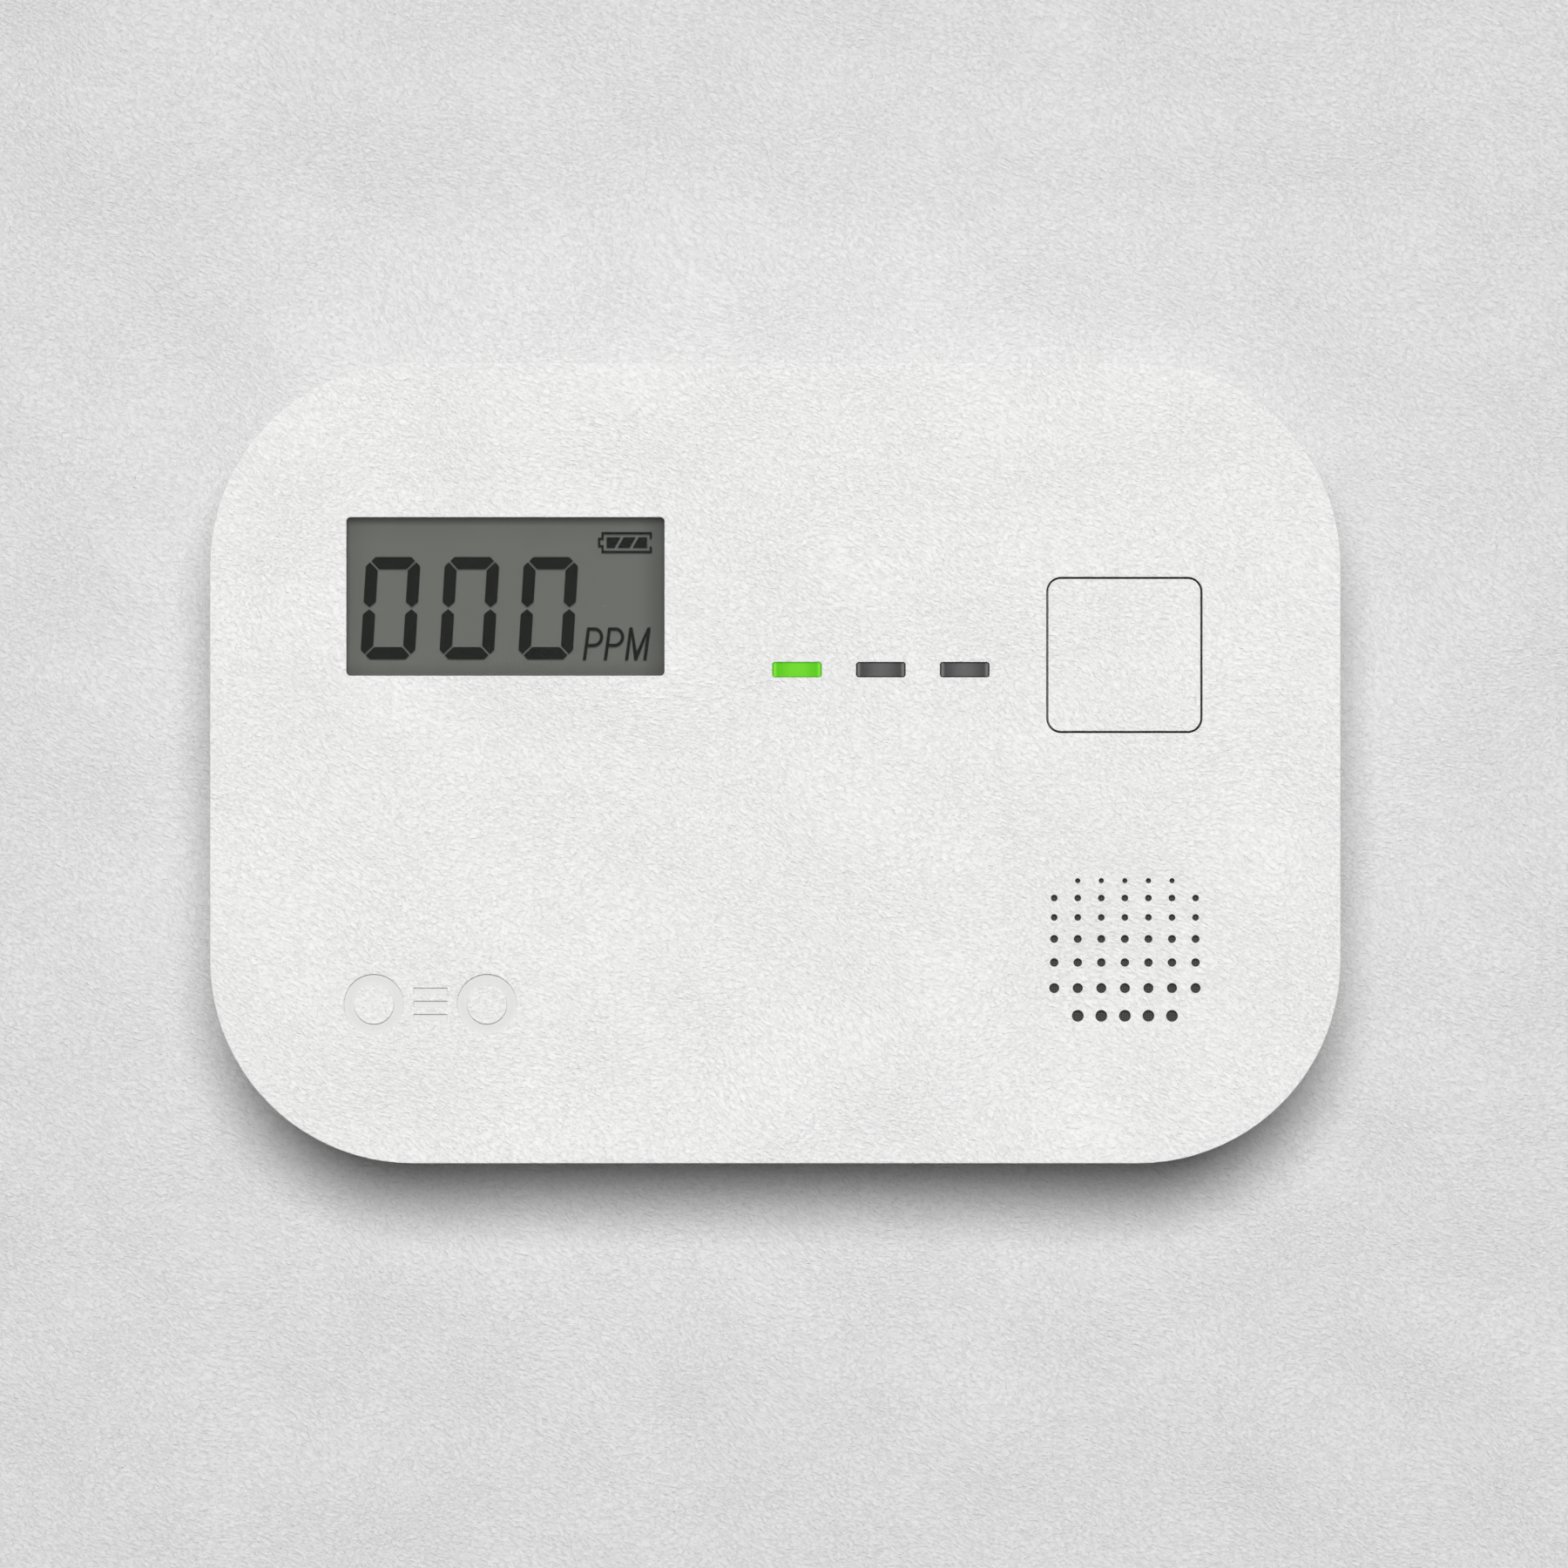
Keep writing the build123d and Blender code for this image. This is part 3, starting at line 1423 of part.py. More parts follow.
pieces = {
    "wall_bracket": wall_bracket,
    "rear_cover": rear_cover,
    "front_cover": front_cover,
    "rating_label": rating_label,
    "battery_door": battery_door,
    "case_screws": case_screws,
    "board_screws": board_screws,
    "display_lens": display_lens,
    "display_front_glass": display_front_glass,
    "display_segments": display_segments,
    "display_rear_glass": display_rear_glass,
    "display_reflector": display_reflector,
    "display_holder": display_holder,
    "display_pins": display_pins,
    "light_shroud": light_shroud,
    "power_light_pipe": power_light_pipe,
    "fault_light_pipe": fault_light_pipe,
    "alarm_light_pipe": alarm_light_pipe,
    "power_led": power_led,
    "fault_led": fault_led,
    "alarm_led": alarm_led,
    "test_button": test_button,
    "button_seal": button_seal,
    "switch_housing": switch_housing,
    "switch_cover": switch_cover,
    "switch_legs": switch_legs,
    "switch_plunger": switch_plunger,
    "grille_mesh": grille_mesh,
    "sounder_gasket": sounder_gasket,
    "sounder_housing": sounder_housing,
    "sounder_base": sounder_base,
    "sounder_pins": sounder_pins,
    "piezo_plate": piezo_plate,
    "piezo_ceramic": piezo_ceramic,
    "gas_sensor_can": gas_sensor_can,
    "gas_sensor_cap": gas_sensor_cap,
    "gas_sensor_membrane": gas_sensor_membrane,
    "gas_sensor_pins": gas_sensor_pins,
    "battery_upper_cell": battery_upper_cell,
    "battery_upper_sleeve": battery_upper_sleeve,
    "battery_lower_cell": battery_lower_cell,
    "battery_lower_sleeve": battery_lower_sleeve,
    "battery_link_plate": battery_link_plate,
    "battery_link_spring": battery_link_spring,
    "battery_positive_plate": battery_positive_plate,
    "battery_negative_plate": battery_negative_plate,
    "battery_negative_spring": battery_negative_spring,
    "circuit_board": circuit_board,
    "microcontroller": microcontroller,
    "microcontroller_pins": microcontroller_pins,
    "sensor_amplifier": sensor_amplifier,
    "amplifier_pins": amplifier_pins,
    "boost_coil": boost_coil,
    "boost_winding": boost_winding,
    "storage_capacitor": storage_capacitor,
    "chip_parts": chip_parts,
    "chip_ends": chip_ends,
    "solder_joints": solder_joints,
}
os.makedirs("parts", exist_ok=True)
for name, piece in pieces.items():
    piece.part.label = name
    export_step(piece.part, f"parts/{name}.step")
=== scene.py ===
import json
import math

import bmesh
import bpy
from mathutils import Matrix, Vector


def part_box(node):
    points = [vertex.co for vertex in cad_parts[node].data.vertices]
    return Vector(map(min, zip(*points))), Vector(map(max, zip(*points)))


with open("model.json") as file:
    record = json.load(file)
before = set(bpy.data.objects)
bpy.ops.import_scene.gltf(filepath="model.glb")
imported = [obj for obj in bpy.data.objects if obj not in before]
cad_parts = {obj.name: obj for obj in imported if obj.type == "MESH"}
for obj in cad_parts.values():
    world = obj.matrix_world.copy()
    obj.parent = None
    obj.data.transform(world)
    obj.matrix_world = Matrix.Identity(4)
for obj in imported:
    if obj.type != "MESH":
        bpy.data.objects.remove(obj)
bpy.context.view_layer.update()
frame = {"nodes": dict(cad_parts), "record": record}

# The case hangs on the wall plane y = 0 and faces -Y. Everything here is in metres.
MM = 0.001
case_low, case_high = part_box("front_cover")
case_centre = (case_low + case_high) / 2
face_y = case_low.y
WINDOW_WIDTH = 33.74 * MM
WINDOW_HEIGHT = 16.81 * MM
PIPE_WIDTH = 5.12 * MM
PIPE_HEIGHT = 1.49 * MM
EMBLEM_DEPTH = 0.6 * MM

# ---------------------------------------------------------------- node helpers
BLACK = (0, 0, 0, 1)
NOISE_SPAN = (0.3, 0.7)  # most of a noise texture's values lie in this span


def feed(tree, socket, value):
    """Sets a socket to a value, or links it where the value is another socket."""
    if isinstance(value, bpy.types.NodeSocket):
        tree.links.new(value, socket)
    else:
        socket.default_value = value


def add(tree, kind, inputs=None, **settings):
    """A shader node with its settings, and its inputs given as values or as sockets to link."""
    made = tree.nodes.new(kind)
    for key, value in settings.items():
        setattr(made, key, value)
    for key, value in (inputs or {}).items():
        feed(tree, made.inputs[key], value)
    return made


def new_material(name):
    """A new Principled material: (material, tree, shader)."""
    material = bpy.data.materials.new(name)
    material.use_nodes = True
    tree = material.node_tree
    return material, tree, tree.nodes["Principled BSDF"]


def set_inputs(tree, shader, **values):
    """Feeds a shader's sockets by name, with underscores for spaces."""
    for key, value in values.items():
        feed(tree, shader.inputs[key.replace("_", " ")], value)


def object_coords(tree, scale=(1, 1, 1)):
    """The piece's own coordinates, scaled."""
    coords = add(tree, "ShaderNodeTexCoord").outputs["Object"]
    return add(tree, "ShaderNodeMapping", {"Vector": coords, "Scale": scale}).outputs["Vector"]


def split_axes(tree, vector):
    """The x, y and z of a vector."""
    parts = add(tree, "ShaderNodeSeparateXYZ", {"Vector": vector})
    return parts.outputs["X"], parts.outputs["Y"], parts.outputs["Z"]


def noise(tree, vector, feature, detail=3.0, roughness=0.5, distortion=0.0):
    """Noise from 0 to 1, whose features are about this many metres across."""
    made = add(
        tree,
        "ShaderNodeTexNoise",
        {
            "Vector": vector,
            "Scale": 1 / feature,
            "Detail": detail,
            "Roughness": roughness,
            "Distortion": distortion,
        },
    )
    return made.outputs["Fac"]


def spread(tree, value, low, high, span=NOISE_SPAN):
    """Maps the span of a noise value onto low..high."""
    made = add(
        tree,
        "ShaderNodeMapRange",
        {"Value": value, "From Min": span[0], "From Max": span[1], "To Min": low, "To Max": high},
    )
    return made.outputs["Result"]


def ease(tree, value, reach, edge_level):
    """Rises smoothly from edge_level to 1 as value goes from nought to reach."""
    made = add(
        tree,
        "ShaderNodeMapRange",
        {"Value": value, "From Min": 0.0, "From Max": reach, "To Min": edge_level, "To Max": 1.0},
        interpolation_type="SMOOTHSTEP",
    )
    return made.outputs["Result"]


def maths(tree, operation, *values):
    """One arithmetic step."""
    return add(tree, "ShaderNodeMath", dict(enumerate(values)), operation=operation).outputs[0]


def choose(tree, condition, if_not, if_so):
    """One of two numbers, by a condition that is 0 or 1."""
    inputs = {0: condition, 2: if_not, 3: if_so}
    return add(tree, "ShaderNodeMix", inputs, data_type="FLOAT").outputs[0]


def blend_colours(tree, factor, first, second):
    """A colour that goes from first to second with factor."""
    inputs = {0: factor, 6: first, 7: second}
    return add(tree, "ShaderNodeMix", inputs, data_type="RGBA").outputs[2]


def level_ramp(tree, value, stops):
    """A level read from (position, level) stops, whose highest may be over 1."""
    top = max(level for _, level in stops)
    ramp = add(tree, "ShaderNodeValToRGB", {"Fac": value})
    elements = ramp.color_ramp.elements
    while len(elements) < len(stops):
        elements.new(0.5)
    for element, (position, level) in zip(elements, stops):
        element.position = position
        share = level / top
        element.color = (share, share, share, 1)
    return maths(tree, "MULTIPLY", ramp.outputs["Color"], top)


def raise_bumps(tree, shader, height, depth, strength=1.0):
    """Bump of this depth in metres on the shader's normal."""
    inputs = {"Height": height, "Distance": depth, "Strength": strength}
    set_inputs(tree, shader, Normal=add(tree, "ShaderNodeBump", inputs).outputs["Normal"])


def rgb(r, g, b):
    """A colour from its display values, 0 to 255, by the sRGB curve."""
    linear = [
        v / 12.92 if v <= 0.04045 else ((v + 0.055) / 1.055) ** 2.4
        for v in (r / 255, g / 255, b / 255)
    ]
    return (*linear, 1.0)


def shaded(colour, factor):
    """The same colour, lighter or darker."""
    return (*[min(1.0, c * factor) for c in colour[:3]], 1.0)


def mottled(tree, colour, pattern, dark, light):
    """The colour, varied by a noise from dark to light times itself."""
    patches = spread(tree, pattern, 0, 1)
    return blend_colours(tree, patches, shaded(colour, dark), shaded(colour, light))


# ---------------------------------------------------------------- materials

# The grain's strokes lean, and are drawn out along X. Their places drift from one part of the
# surface to the next: the distance and the amount of it are in stroke widths.
STROKE_LEAN = math.radians(-24.0)
STROKE_SCALE = (0.6, 1.0, 1.0)
DRIFT_DISTANCE = 60
DRIFT_AMOUNT = 20
SIDE_RELIEF = 0.3  # the share of the grain's relief that a piece's sides keep
HOLLOW_SPAN = (0.25, 0.6)
# Painted shade: the grain's hollows are darkened in colour by this factor.
HOLLOW_PAINTED_SHADE = 0.82
# Painted shade: a recessed floor's colour is darkened by this factor.
FLOOR_PAINTED_SHADE = 0.75
FLOOR_MARGIN = 0.03 * MM
WAVE_REPEAT = 0.314  # a wave texture of scale 1 repeats after this length


def leather_grain(tree, grain):
    """Short slanting strokes, the middle of each about grain wide, whose places drift slowly."""
    coords = object_coords(tree)
    drift = add(
        tree,
        "ShaderNodeTexNoise",
        {"Vector": coords, "Scale": 1 / (DRIFT_DISTANCE * grain), "Detail": 1.0},
    ).outputs["Color"]
    warped = add(
        tree,
        "ShaderNodeVectorMath",
        {0: drift, 1: [DRIFT_AMOUNT * grain] * 3, 2: coords},
        operation="MULTIPLY_ADD",
    ).outputs["Vector"]
    turned = add(
        tree, "ShaderNodeMapping", {"Vector": warped, "Rotation": (0, STROKE_LEAN, 0)}
    ).outputs["Vector"]
    strokes = add(
        tree, "ShaderNodeMapping", {"Vector": turned, "Scale": STROKE_SCALE}
    ).outputs["Vector"]
    return noise(tree, strokes, grain, detail=3.0, roughness=0.55, distortion=0.8)


def grained_surface(name, colour, roughness, grain, depth, specular, floor_y=None):
    """A leathery grain: rougher and darkened with painted shade in its hollows, shallower on the
    piece's sides.

    A floor at floor_y, such as that of a debossed mark, is smooth and darkened with painted shade."""
    material, tree, shader = new_material(name)
    height = leather_grain(tree, grain)
    if floor_y is not None:
        _, own_y, _ = split_axes(tree, object_coords(tree))
        floor = maths(tree, "COMPARE", own_y, floor_y, FLOOR_MARGIN)
        height = maths(tree, "MULTIPLY", height, maths(tree, "SUBTRACT", 1.0, floor))
    _, normal_y, _ = split_axes(tree, add(tree, "ShaderNodeNewGeometry").outputs["Normal"])
    facing = maths(tree, "POWER", normal_y, 4.0)
    relief = maths(tree, "MULTIPLY_ADD", facing, 1 - SIDE_RELIEF, SIDE_RELIEF)
    raise_bumps(tree, shader, height, depth, relief)
    patches = noise(tree, object_coords(tree), 14 * MM, detail=2.0)
    tint = mottled(tree, colour, patches, 0.985, 1.01)
    # Painted shade: the grain's hollows are darkened.
    raised = spread(tree, height, 0, 1, HOLLOW_SPAN)
    tint = blend_colours(tree, raised, shaded(colour, HOLLOW_PAINTED_SHADE), tint)
    # The recessed floor gets painted shade.
    if floor_y is not None:
        tint = blend_colours(tree, floor, tint, shaded(colour, FLOOR_PAINTED_SHADE))
    polish = spread(tree, height, roughness + 0.08, roughness - 0.05)
    set_inputs(tree, shader, Base_Color=tint, Roughness=polish, Specular_IOR_Level=specular)
    return material, tree, shader


def grained_plastic(name, colour, depth=0.26 * MM, floor_y=None):
    """Moulded plastic with a fine leathery grain."""
    roughness, grain, specular = 0.6, 0.33 * MM, 0.3
    return grained_surface(name, colour, roughness, grain, depth, specular, floor_y)[0]


def smooth_plastic(name, colour, roughness=0.4, depth=0.012 * MM, **sockets):
    """Moulded plastic with faint flow marks and a soft satin."""
    material, tree, shader = new_material(name)
    coords = object_coords(tree)
    flow = noise(tree, coords, 6 * MM, detail=2.0)
    satin = noise(tree, coords, 0.35 * MM, detail=2.0)
    tint = mottled(tree, colour, flow, 0.9, 1.08)
    polish = spread(tree, satin, roughness - 0.06, roughness + 0.06)
    raise_bumps(tree, shader, satin, depth)
    set_inputs(tree, shader, Base_Color=tint, Roughness=polish, **sockets)
    return material


def metal(name, colour, roughness=0.3, brushing=(1, 1, 1)):
    """Metal with fine brushing or a soft tumbled finish, and slight tarnish."""
    material, tree, shader = new_material(name)
    marks = noise(
        tree, object_coords(tree, scale=brushing), 0.4 * MM, detail=4.0, roughness=0.65
    )
    tarnish = noise(tree, object_coords(tree), 2.5 * MM, detail=3.0)
    tint = mottled(tree, colour, tarnish, 0.82, 1.05)
    polish = spread(tree, marks, roughness - 0.1, roughness + 0.12)
    raise_bumps(tree, shader, marks, 0.006 * MM)
    set_inputs(tree, shader, Base_Color=tint, Roughness=polish, Metallic=1.0)
    return material


def clear_sheet(name, colour, alpha):
    """A clear sheet that mostly lets the layers behind it through, with faint handling marks."""
    material, tree, shader = new_material(name)
    marks = noise(tree, object_coords(tree), 3 * MM, detail=4.0, roughness=0.6)
    tint = mottled(tree, colour, marks, 0.95, 1.05)
    polish = spread(tree, marks, 0.06, 0.11)
    set_inputs(tree, shader, Base_Color=tint, Roughness=polish, Alpha=alpha, IOR=1.5)
    return material


def window_light(name, target, glow_share, contrasts):
    """A light pipe of this colour, with painted light and shade: a bright highlight band near each
    end, a lighter middle, dark shaded edges.

    glow_share of the colour is its own light and the rest is the plastic's. The contrasts say
    how strongly red, green and blue follow that pattern."""
    # Painted highlights and shade: bright bands for the lit end facets, dark edges and a darker
    # top and bottom for the shade of the recess.
    painted_light_middle_to_end = (
        (0.0, 1.0), (0.3, 0.9), (0.6, 0.62), (0.8, 0.5), (0.85, 0.72),
        (0.88, 1.2), (0.915, 1.5), (0.95, 1.25), (0.985, 0.5),
    )
    painted_shade_bottom_to_top = ((0.0, 0.75), (0.07, 0.95), (0.2, 1.0), (0.85, 1.0), (0.93, 0.85), (1.0, 0.55))
    material, tree, shader = new_material(name)
    low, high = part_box("power_light_pipe")
    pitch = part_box("fault_light_pipe")[0].x - low.x
    x, _, z = split_axes(tree, object_coords(tree))
    # The three pipes share this pattern, so x is wrapped round to each pipe's own middle.
    along = maths(tree, "SUBTRACT", x, (low.x + high.x) / 2 - pitch / 2)
    local = maths(tree, "SUBTRACT", maths(tree, "WRAP", along, pitch, 0.0), pitch / 2)
    outwards = maths(tree, "DIVIDE", maths(tree, "ABSOLUTE", local), PIPE_WIDTH / 2)
    raised = maths(tree, "SUBTRACT", z, (low.z + high.z) / 2)
    raised = maths(tree, "DIVIDE", raised, PIPE_HEIGHT / 2)
    upwards = maths(tree, "MULTIPLY_ADD", raised, 0.5, 0.5)
    across = level_ramp(tree, outwards, painted_light_middle_to_end)
    upright = level_ramp(tree, upwards, painted_shade_bottom_to_top)
    cloud = noise(tree, object_coords(tree), 0.5 * MM, detail=2.0)
    level = maths(tree, "MULTIPLY", across, upright)
    level = maths(tree, "MULTIPLY", level, spread(tree, cloud, 0.95, 1.05))
    channels = [
        maths(tree, "MULTIPLY", maths(tree, "POWER", level, contrast), amount)
        for contrast, amount in zip(contrasts, target)
    ]
    colour = add(tree, "ShaderNodeCombineColor", dict(enumerate(channels))).outputs["Color"]
    set_inputs(tree, shader, Base_Color=blend_colours(tree, 1 - glow_share, BLACK, colour))
    if glow_share:
        glow = blend_colours(tree, glow_share, BLACK, colour)
        set_inputs(tree, shader, Emission_Color=glow, Emission_Strength=1.0)
    set_inputs(tree, shader, Roughness=0.3, Specular_IOR_Level=0.25)
    return material


def display_backing_with_painted_light(name, colour, glow):
    """The film behind the segments: grey-green, with a faint painted glow, and painted shade that
    dims it towards the window's edges.
    """
    material, tree, shader = new_material(name)
    low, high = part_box("display_lens")
    centre = (low + high) / 2
    x, _, z = split_axes(tree, object_coords(tree))
    across = maths(tree, "SUBTRACT", x, centre.x)
    raised = maths(tree, "SUBTRACT", z, centre.z)
    level = 1.0
    # Painted shade: each edge of the window dims the film over its own reach, as the rim's shadow
    # would: top, bottom, right and left.
    for value, sign, half, reach, edge_level in (
        (raised, -1, WINDOW_HEIGHT / 2, 3.4 * MM, 0.90),
        (raised, 1, WINDOW_HEIGHT / 2, 1.9 * MM, 0.78),
        (across, -1, WINDOW_WIDTH / 2, 3.2 * MM, 0.64),
        (across, 1, WINDOW_WIDTH / 2, 3.0 * MM, 0.86),
    ):
        inside = maths(tree, "MULTIPLY_ADD", value, float(sign), half)
        level = maths(tree, "MULTIPLY", level, ease(tree, inside, reach, edge_level))
    cloud = noise(tree, object_coords(tree), 5 * MM, detail=2.0)
    level = maths(tree, "MULTIPLY", level, spread(tree, cloud, 0.985, 1.01))
    # The emission is a painted glow: the film is lit by no lamp of its own.
    for shade, socket in ((colour, "Base_Color"), (glow, "Emission_Color")):
        set_inputs(tree, shader, **{socket: blend_colours(tree, level, BLACK, shade)})
    set_inputs(tree, shader, Roughness=0.5, Specular_IOR_Level=0.0, Emission_Strength=1.0)
    return material


def printed_label(name):
    """Silver film printed with a border and blank ruled lines."""
    film_dark, film_light, ink = rgb(196, 197, 198), rgb(214, 215, 216), rgb(70, 72, 74)
    border_inset, border_half = 1.3 * MM, 0.15 * MM
    rule_inset, rule_pitch, rule_half = 2.6 * MM, 2.6 * MM, 0.08 * MM
    material, tree, shader = new_material(name)
    low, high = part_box("rating_label")
    x, _, z = split_axes(tree, object_coords(tree))
    from_bottom = maths(tree, "SUBTRACT", z, low.z)
    inside = from_bottom
    for end, start in ((x, low.x), (high.x, x), (high.z, z)):
        inside = maths(tree, "MINIMUM", inside, maths(tree, "SUBTRACT", end, start))
    border = maths(tree, "COMPARE", inside, border_inset, border_half)
    rows = maths(tree, "WRAP", from_bottom, rule_pitch, 0.0)
    on_rule = maths(tree, "COMPARE", rows, rule_pitch / 2, rule_half)
    rules = maths(tree, "MULTIPLY", on_rule, maths(tree, "GREATER_THAN", inside, rule_inset))
    printed = maths(tree, "MAXIMUM", border, rules)
    wear = noise(tree, object_coords(tree, scale=(0.3, 1, 1)), 0.6 * MM, detail=4.0)
    film = blend_colours(tree, spread(tree, wear, 0, 1), film_dark, film_light)
    tint = blend_colours(tree, printed, film, ink)
    polish = spread(tree, wear, 0.3, 0.42)
    raise_bumps(tree, shader, wear, 0.01 * MM)
    set_inputs(tree, shader, Base_Color=tint, Roughness=polish, Metallic=0.35)
    return material


def lamp_body(name, colour, glow_strength=0.0):
    """A moulded lamp with a cloudy lens."""
    material, tree, shader = new_material(name)
    cloud = noise(tree, object_coords(tree), 0.8 * MM, detail=2.0)
    tint = mottled(tree, colour, cloud, 0.85, 1.1)
    set_inputs(tree, shader, Base_Color=tint, Roughness=0.25)
    if glow_strength:
        set_inputs(tree, shader, Emission_Color=tint, Emission_Strength=glow_strength)
    return material


def board_laminate(name):
    """Solder mask over raised copper tracks, with the laminate's weave showing faintly."""
    mask, track = rgb(24, 92, 54), rgb(38, 122, 70)
    track_pitch = 5 * MM
    quarter_turn = math.pi / 2
    material, tree, shader = new_material(name)
    coords = object_coords(tree)
    flat_coords = add(
        tree, "ShaderNodeMapping", {"Vector": coords, "Rotation": (quarter_turn, 0, 0)}
    ).outputs["Vector"]
    tracks = add(
        tree,
        "ShaderNodeTexBrick",
        {
            "Vector": flat_coords,
            "Scale": 1 / track_pitch,
            "Mortar Size": 0.05,
            "Mortar Smooth": 0.2,
            "Brick Width": 1.7,
            "Row Height": 0.42,
        },
        offset=0.37,
        offset_frequency=3,
        squash=0.7,
        squash_frequency=4,
    ).outputs["Fac"]
    weave = noise(tree, coords, 0.6 * MM, detail=2.0)
    tint = blend_colours(tree, tracks, mask, track)
    tint = blend_colours(tree, spread(tree, weave, 0, 0.35), tint, shaded(mask, 0.75))
    raise_bumps(tree, shader, tracks, 0.03 * MM)
    set_inputs(
        tree, shader, Base_Color=tint, Roughness=0.32, Coat_Weight=0.4, Coat_Roughness=0.15
    )
    return material


def woven(name, colour, pitch):
    """A plain weave of fine threads, with painted shade between them."""
    material, tree, shader = new_material(name)
    wave_inputs = {"Vector": object_coords(tree), "Scale": WAVE_REPEAT / pitch}
    threads = [
        add(tree, "ShaderNodeTexWave", wave_inputs, bands_direction=direction).outputs["Fac"]
        for direction in ("X", "Z")
    ]
    height = maths(tree, "MAXIMUM", *threads)
    # Painted shade: the colour darkens between the threads.
    tint = blend_colours(tree, height, shaded(colour, 0.25), colour)
    raise_bumps(tree, shader, height, 0.06 * MM)
    set_inputs(tree, shader, Base_Color=tint, Roughness=0.8)
    return material


def cell_jacket(name):
    """A printed jacket: dark, with a copper-coloured band at the positive end and a pale ring."""
    dark, band, pale = rgb(30, 31, 34), rgb(196, 118, 58), rgb(206, 205, 200)
    band_width, ring_half = 13 * MM, 0.35 * MM
    material, tree, shader = new_material(name)
    upper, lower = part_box("battery_upper_sleeve"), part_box("battery_lower_sleeve")
    upper_band_end = upper[1].x - band_width
    lower_band_end = lower[0].x + band_width
    x, _, z = split_axes(tree, object_coords(tree))
    # The cells point opposite ways, so each has its band at its own end.
    in_upper = maths(tree, "GREATER_THAN", z, (upper[0].z + lower[1].z) / 2)
    in_upper_band = maths(tree, "GREATER_THAN", x, upper_band_end)
    in_lower_band = maths(tree, "LESS_THAN", x, lower_band_end)
    in_band = choose(tree, in_upper, in_lower_band, in_upper_band)
    band_end = choose(tree, in_upper, lower_band_end, upper_band_end)
    ring = maths(tree, "COMPARE", x, band_end, ring_half)
    wear = noise(
        tree, object_coords(tree, scale=(0.2, 1, 1)), 1.2 * MM, detail=4.0, roughness=0.6
    )
    tint = blend_colours(tree, in_band, dark, band)
    tint = blend_colours(tree, ring, tint, pale)
    tint = blend_colours(tree, spread(tree, wear, 0, 0.03), tint, pale)
    polish = spread(tree, wear, 0.22, 0.36)
    foil = maths(tree, "MULTIPLY", in_band, 0.6)
    raise_bumps(tree, shader, wear, 0.01 * MM)
    set_inputs(tree, shader, Base_Color=tint, Roughness=polish, Metallic=foil)
    return material


materials = {
    "front_case": grained_plastic(
        "front_case", (0.78, 0.78, 0.776, 1), floor_y=face_y + EMBLEM_DEPTH
    ),
    "rear_case": grained_plastic("rear_case", (0.745, 0.745, 0.739, 1), depth=0.1 * MM),
    "bracket_plastic": grained_plastic("bracket_plastic", (0.71, 0.71, 0.702, 1), depth=0.06 * MM),
    "clear_plastic": clear_sheet("clear_plastic", (0.02, 0.02, 0.02, 1), alpha=0.10),
    "display_glass": clear_sheet("display_glass", (0.02, 0.022, 0.02, 1), alpha=0.05),
    "liquid_crystal": smooth_plastic(
        "liquid_crystal", (0.0105, 0.012, 0.01, 1), 0.5, 0.002 * MM, Specular_IOR_Level=0.0
    ),
    # The reflector film gets painted shade near the window's edges and a painted glow.
    "reflector_film": display_backing_with_painted_light(
        "reflector_film", colour=(0.121, 0.126, 0.116, 1), glow=(0.060, 0.063, 0.057, 1)
    ),
    "white_plastic": smooth_plastic("white_plastic", rgb(214, 213, 208)),
    "black_plastic": smooth_plastic("black_plastic", rgb(26, 26, 28), 0.45),
    "light_pipe_lit": window_light(
        "light_pipe_lit", rgb(109, 208, 42), glow_share=0.6, contrasts=(0.7, 0.25, 1.4)
    ),
    # The unlit pipe's colour carries the same painted highlights and shade.
    "light_pipe_dark": window_light(
        "light_pipe_dark", rgb(90, 90, 90), glow_share=0.0, contrasts=(1.0, 1.0, 1.0)
    ),
    "led_body": lamp_body("led_body", rgb(226, 221, 196)),
    "led_body_lit": lamp_body("led_body_lit", rgb(120, 230, 60), glow_strength=1.2),
    "board_laminate": board_laminate("board_laminate"),
    "tinned_metal": metal("tinned_metal", rgb(214, 213, 208), 0.28),
    "zinc_screw": metal("zinc_screw", rgb(188, 190, 194), 0.32, brushing=(1, 3, 1)),
    "chip_package": smooth_plastic("chip_package", rgb(30, 30, 31), 0.6, 0.02 * MM),
    "chip_ceramic": smooth_plastic("chip_ceramic", rgb(150, 122, 92), 0.5, 0.01 * MM),
    "ferrite": smooth_plastic("ferrite", rgb(52, 51, 50), 0.7, 0.03 * MM),
    "copper_wire": metal("copper_wire", rgb(206, 118, 70), 0.25, brushing=(1, 12, 1)),
    "capacitor_sleeve": smooth_plastic("capacitor_sleeve", rgb(34, 38, 64), 0.3),
    "brass_disc": metal("brass_disc", rgb(220, 184, 96), 0.25),
    "piezo_ceramic": smooth_plastic("piezo_ceramic", rgb(220, 217, 206), 0.5, 0.01 * MM),
    "foam_gasket": smooth_plastic("foam_gasket", rgb(38, 38, 38), 0.9, 0.12 * MM),
    "dust_mesh": woven("dust_mesh", rgb(74, 74, 74), pitch=0.25 * MM),
    "sensor_steel": metal("sensor_steel", rgb(206, 206, 204), 0.3, brushing=(1, 8, 1)),
    "sensor_membrane": woven("sensor_membrane", rgb(232, 231, 226), pitch=0.15 * MM),
    "gold_pin": metal("gold_pin", rgb(232, 196, 112), 0.22),
    "cell_steel": metal("cell_steel", rgb(208, 208, 206), 0.22, brushing=(8, 1, 1)),
    "cell_sleeve": cell_jacket("cell_sleeve"),
    "contact_steel": metal("contact_steel", rgb(206, 205, 200), 0.24, brushing=(1, 4, 1)),
    "label_film": printed_label("label_film"),
}

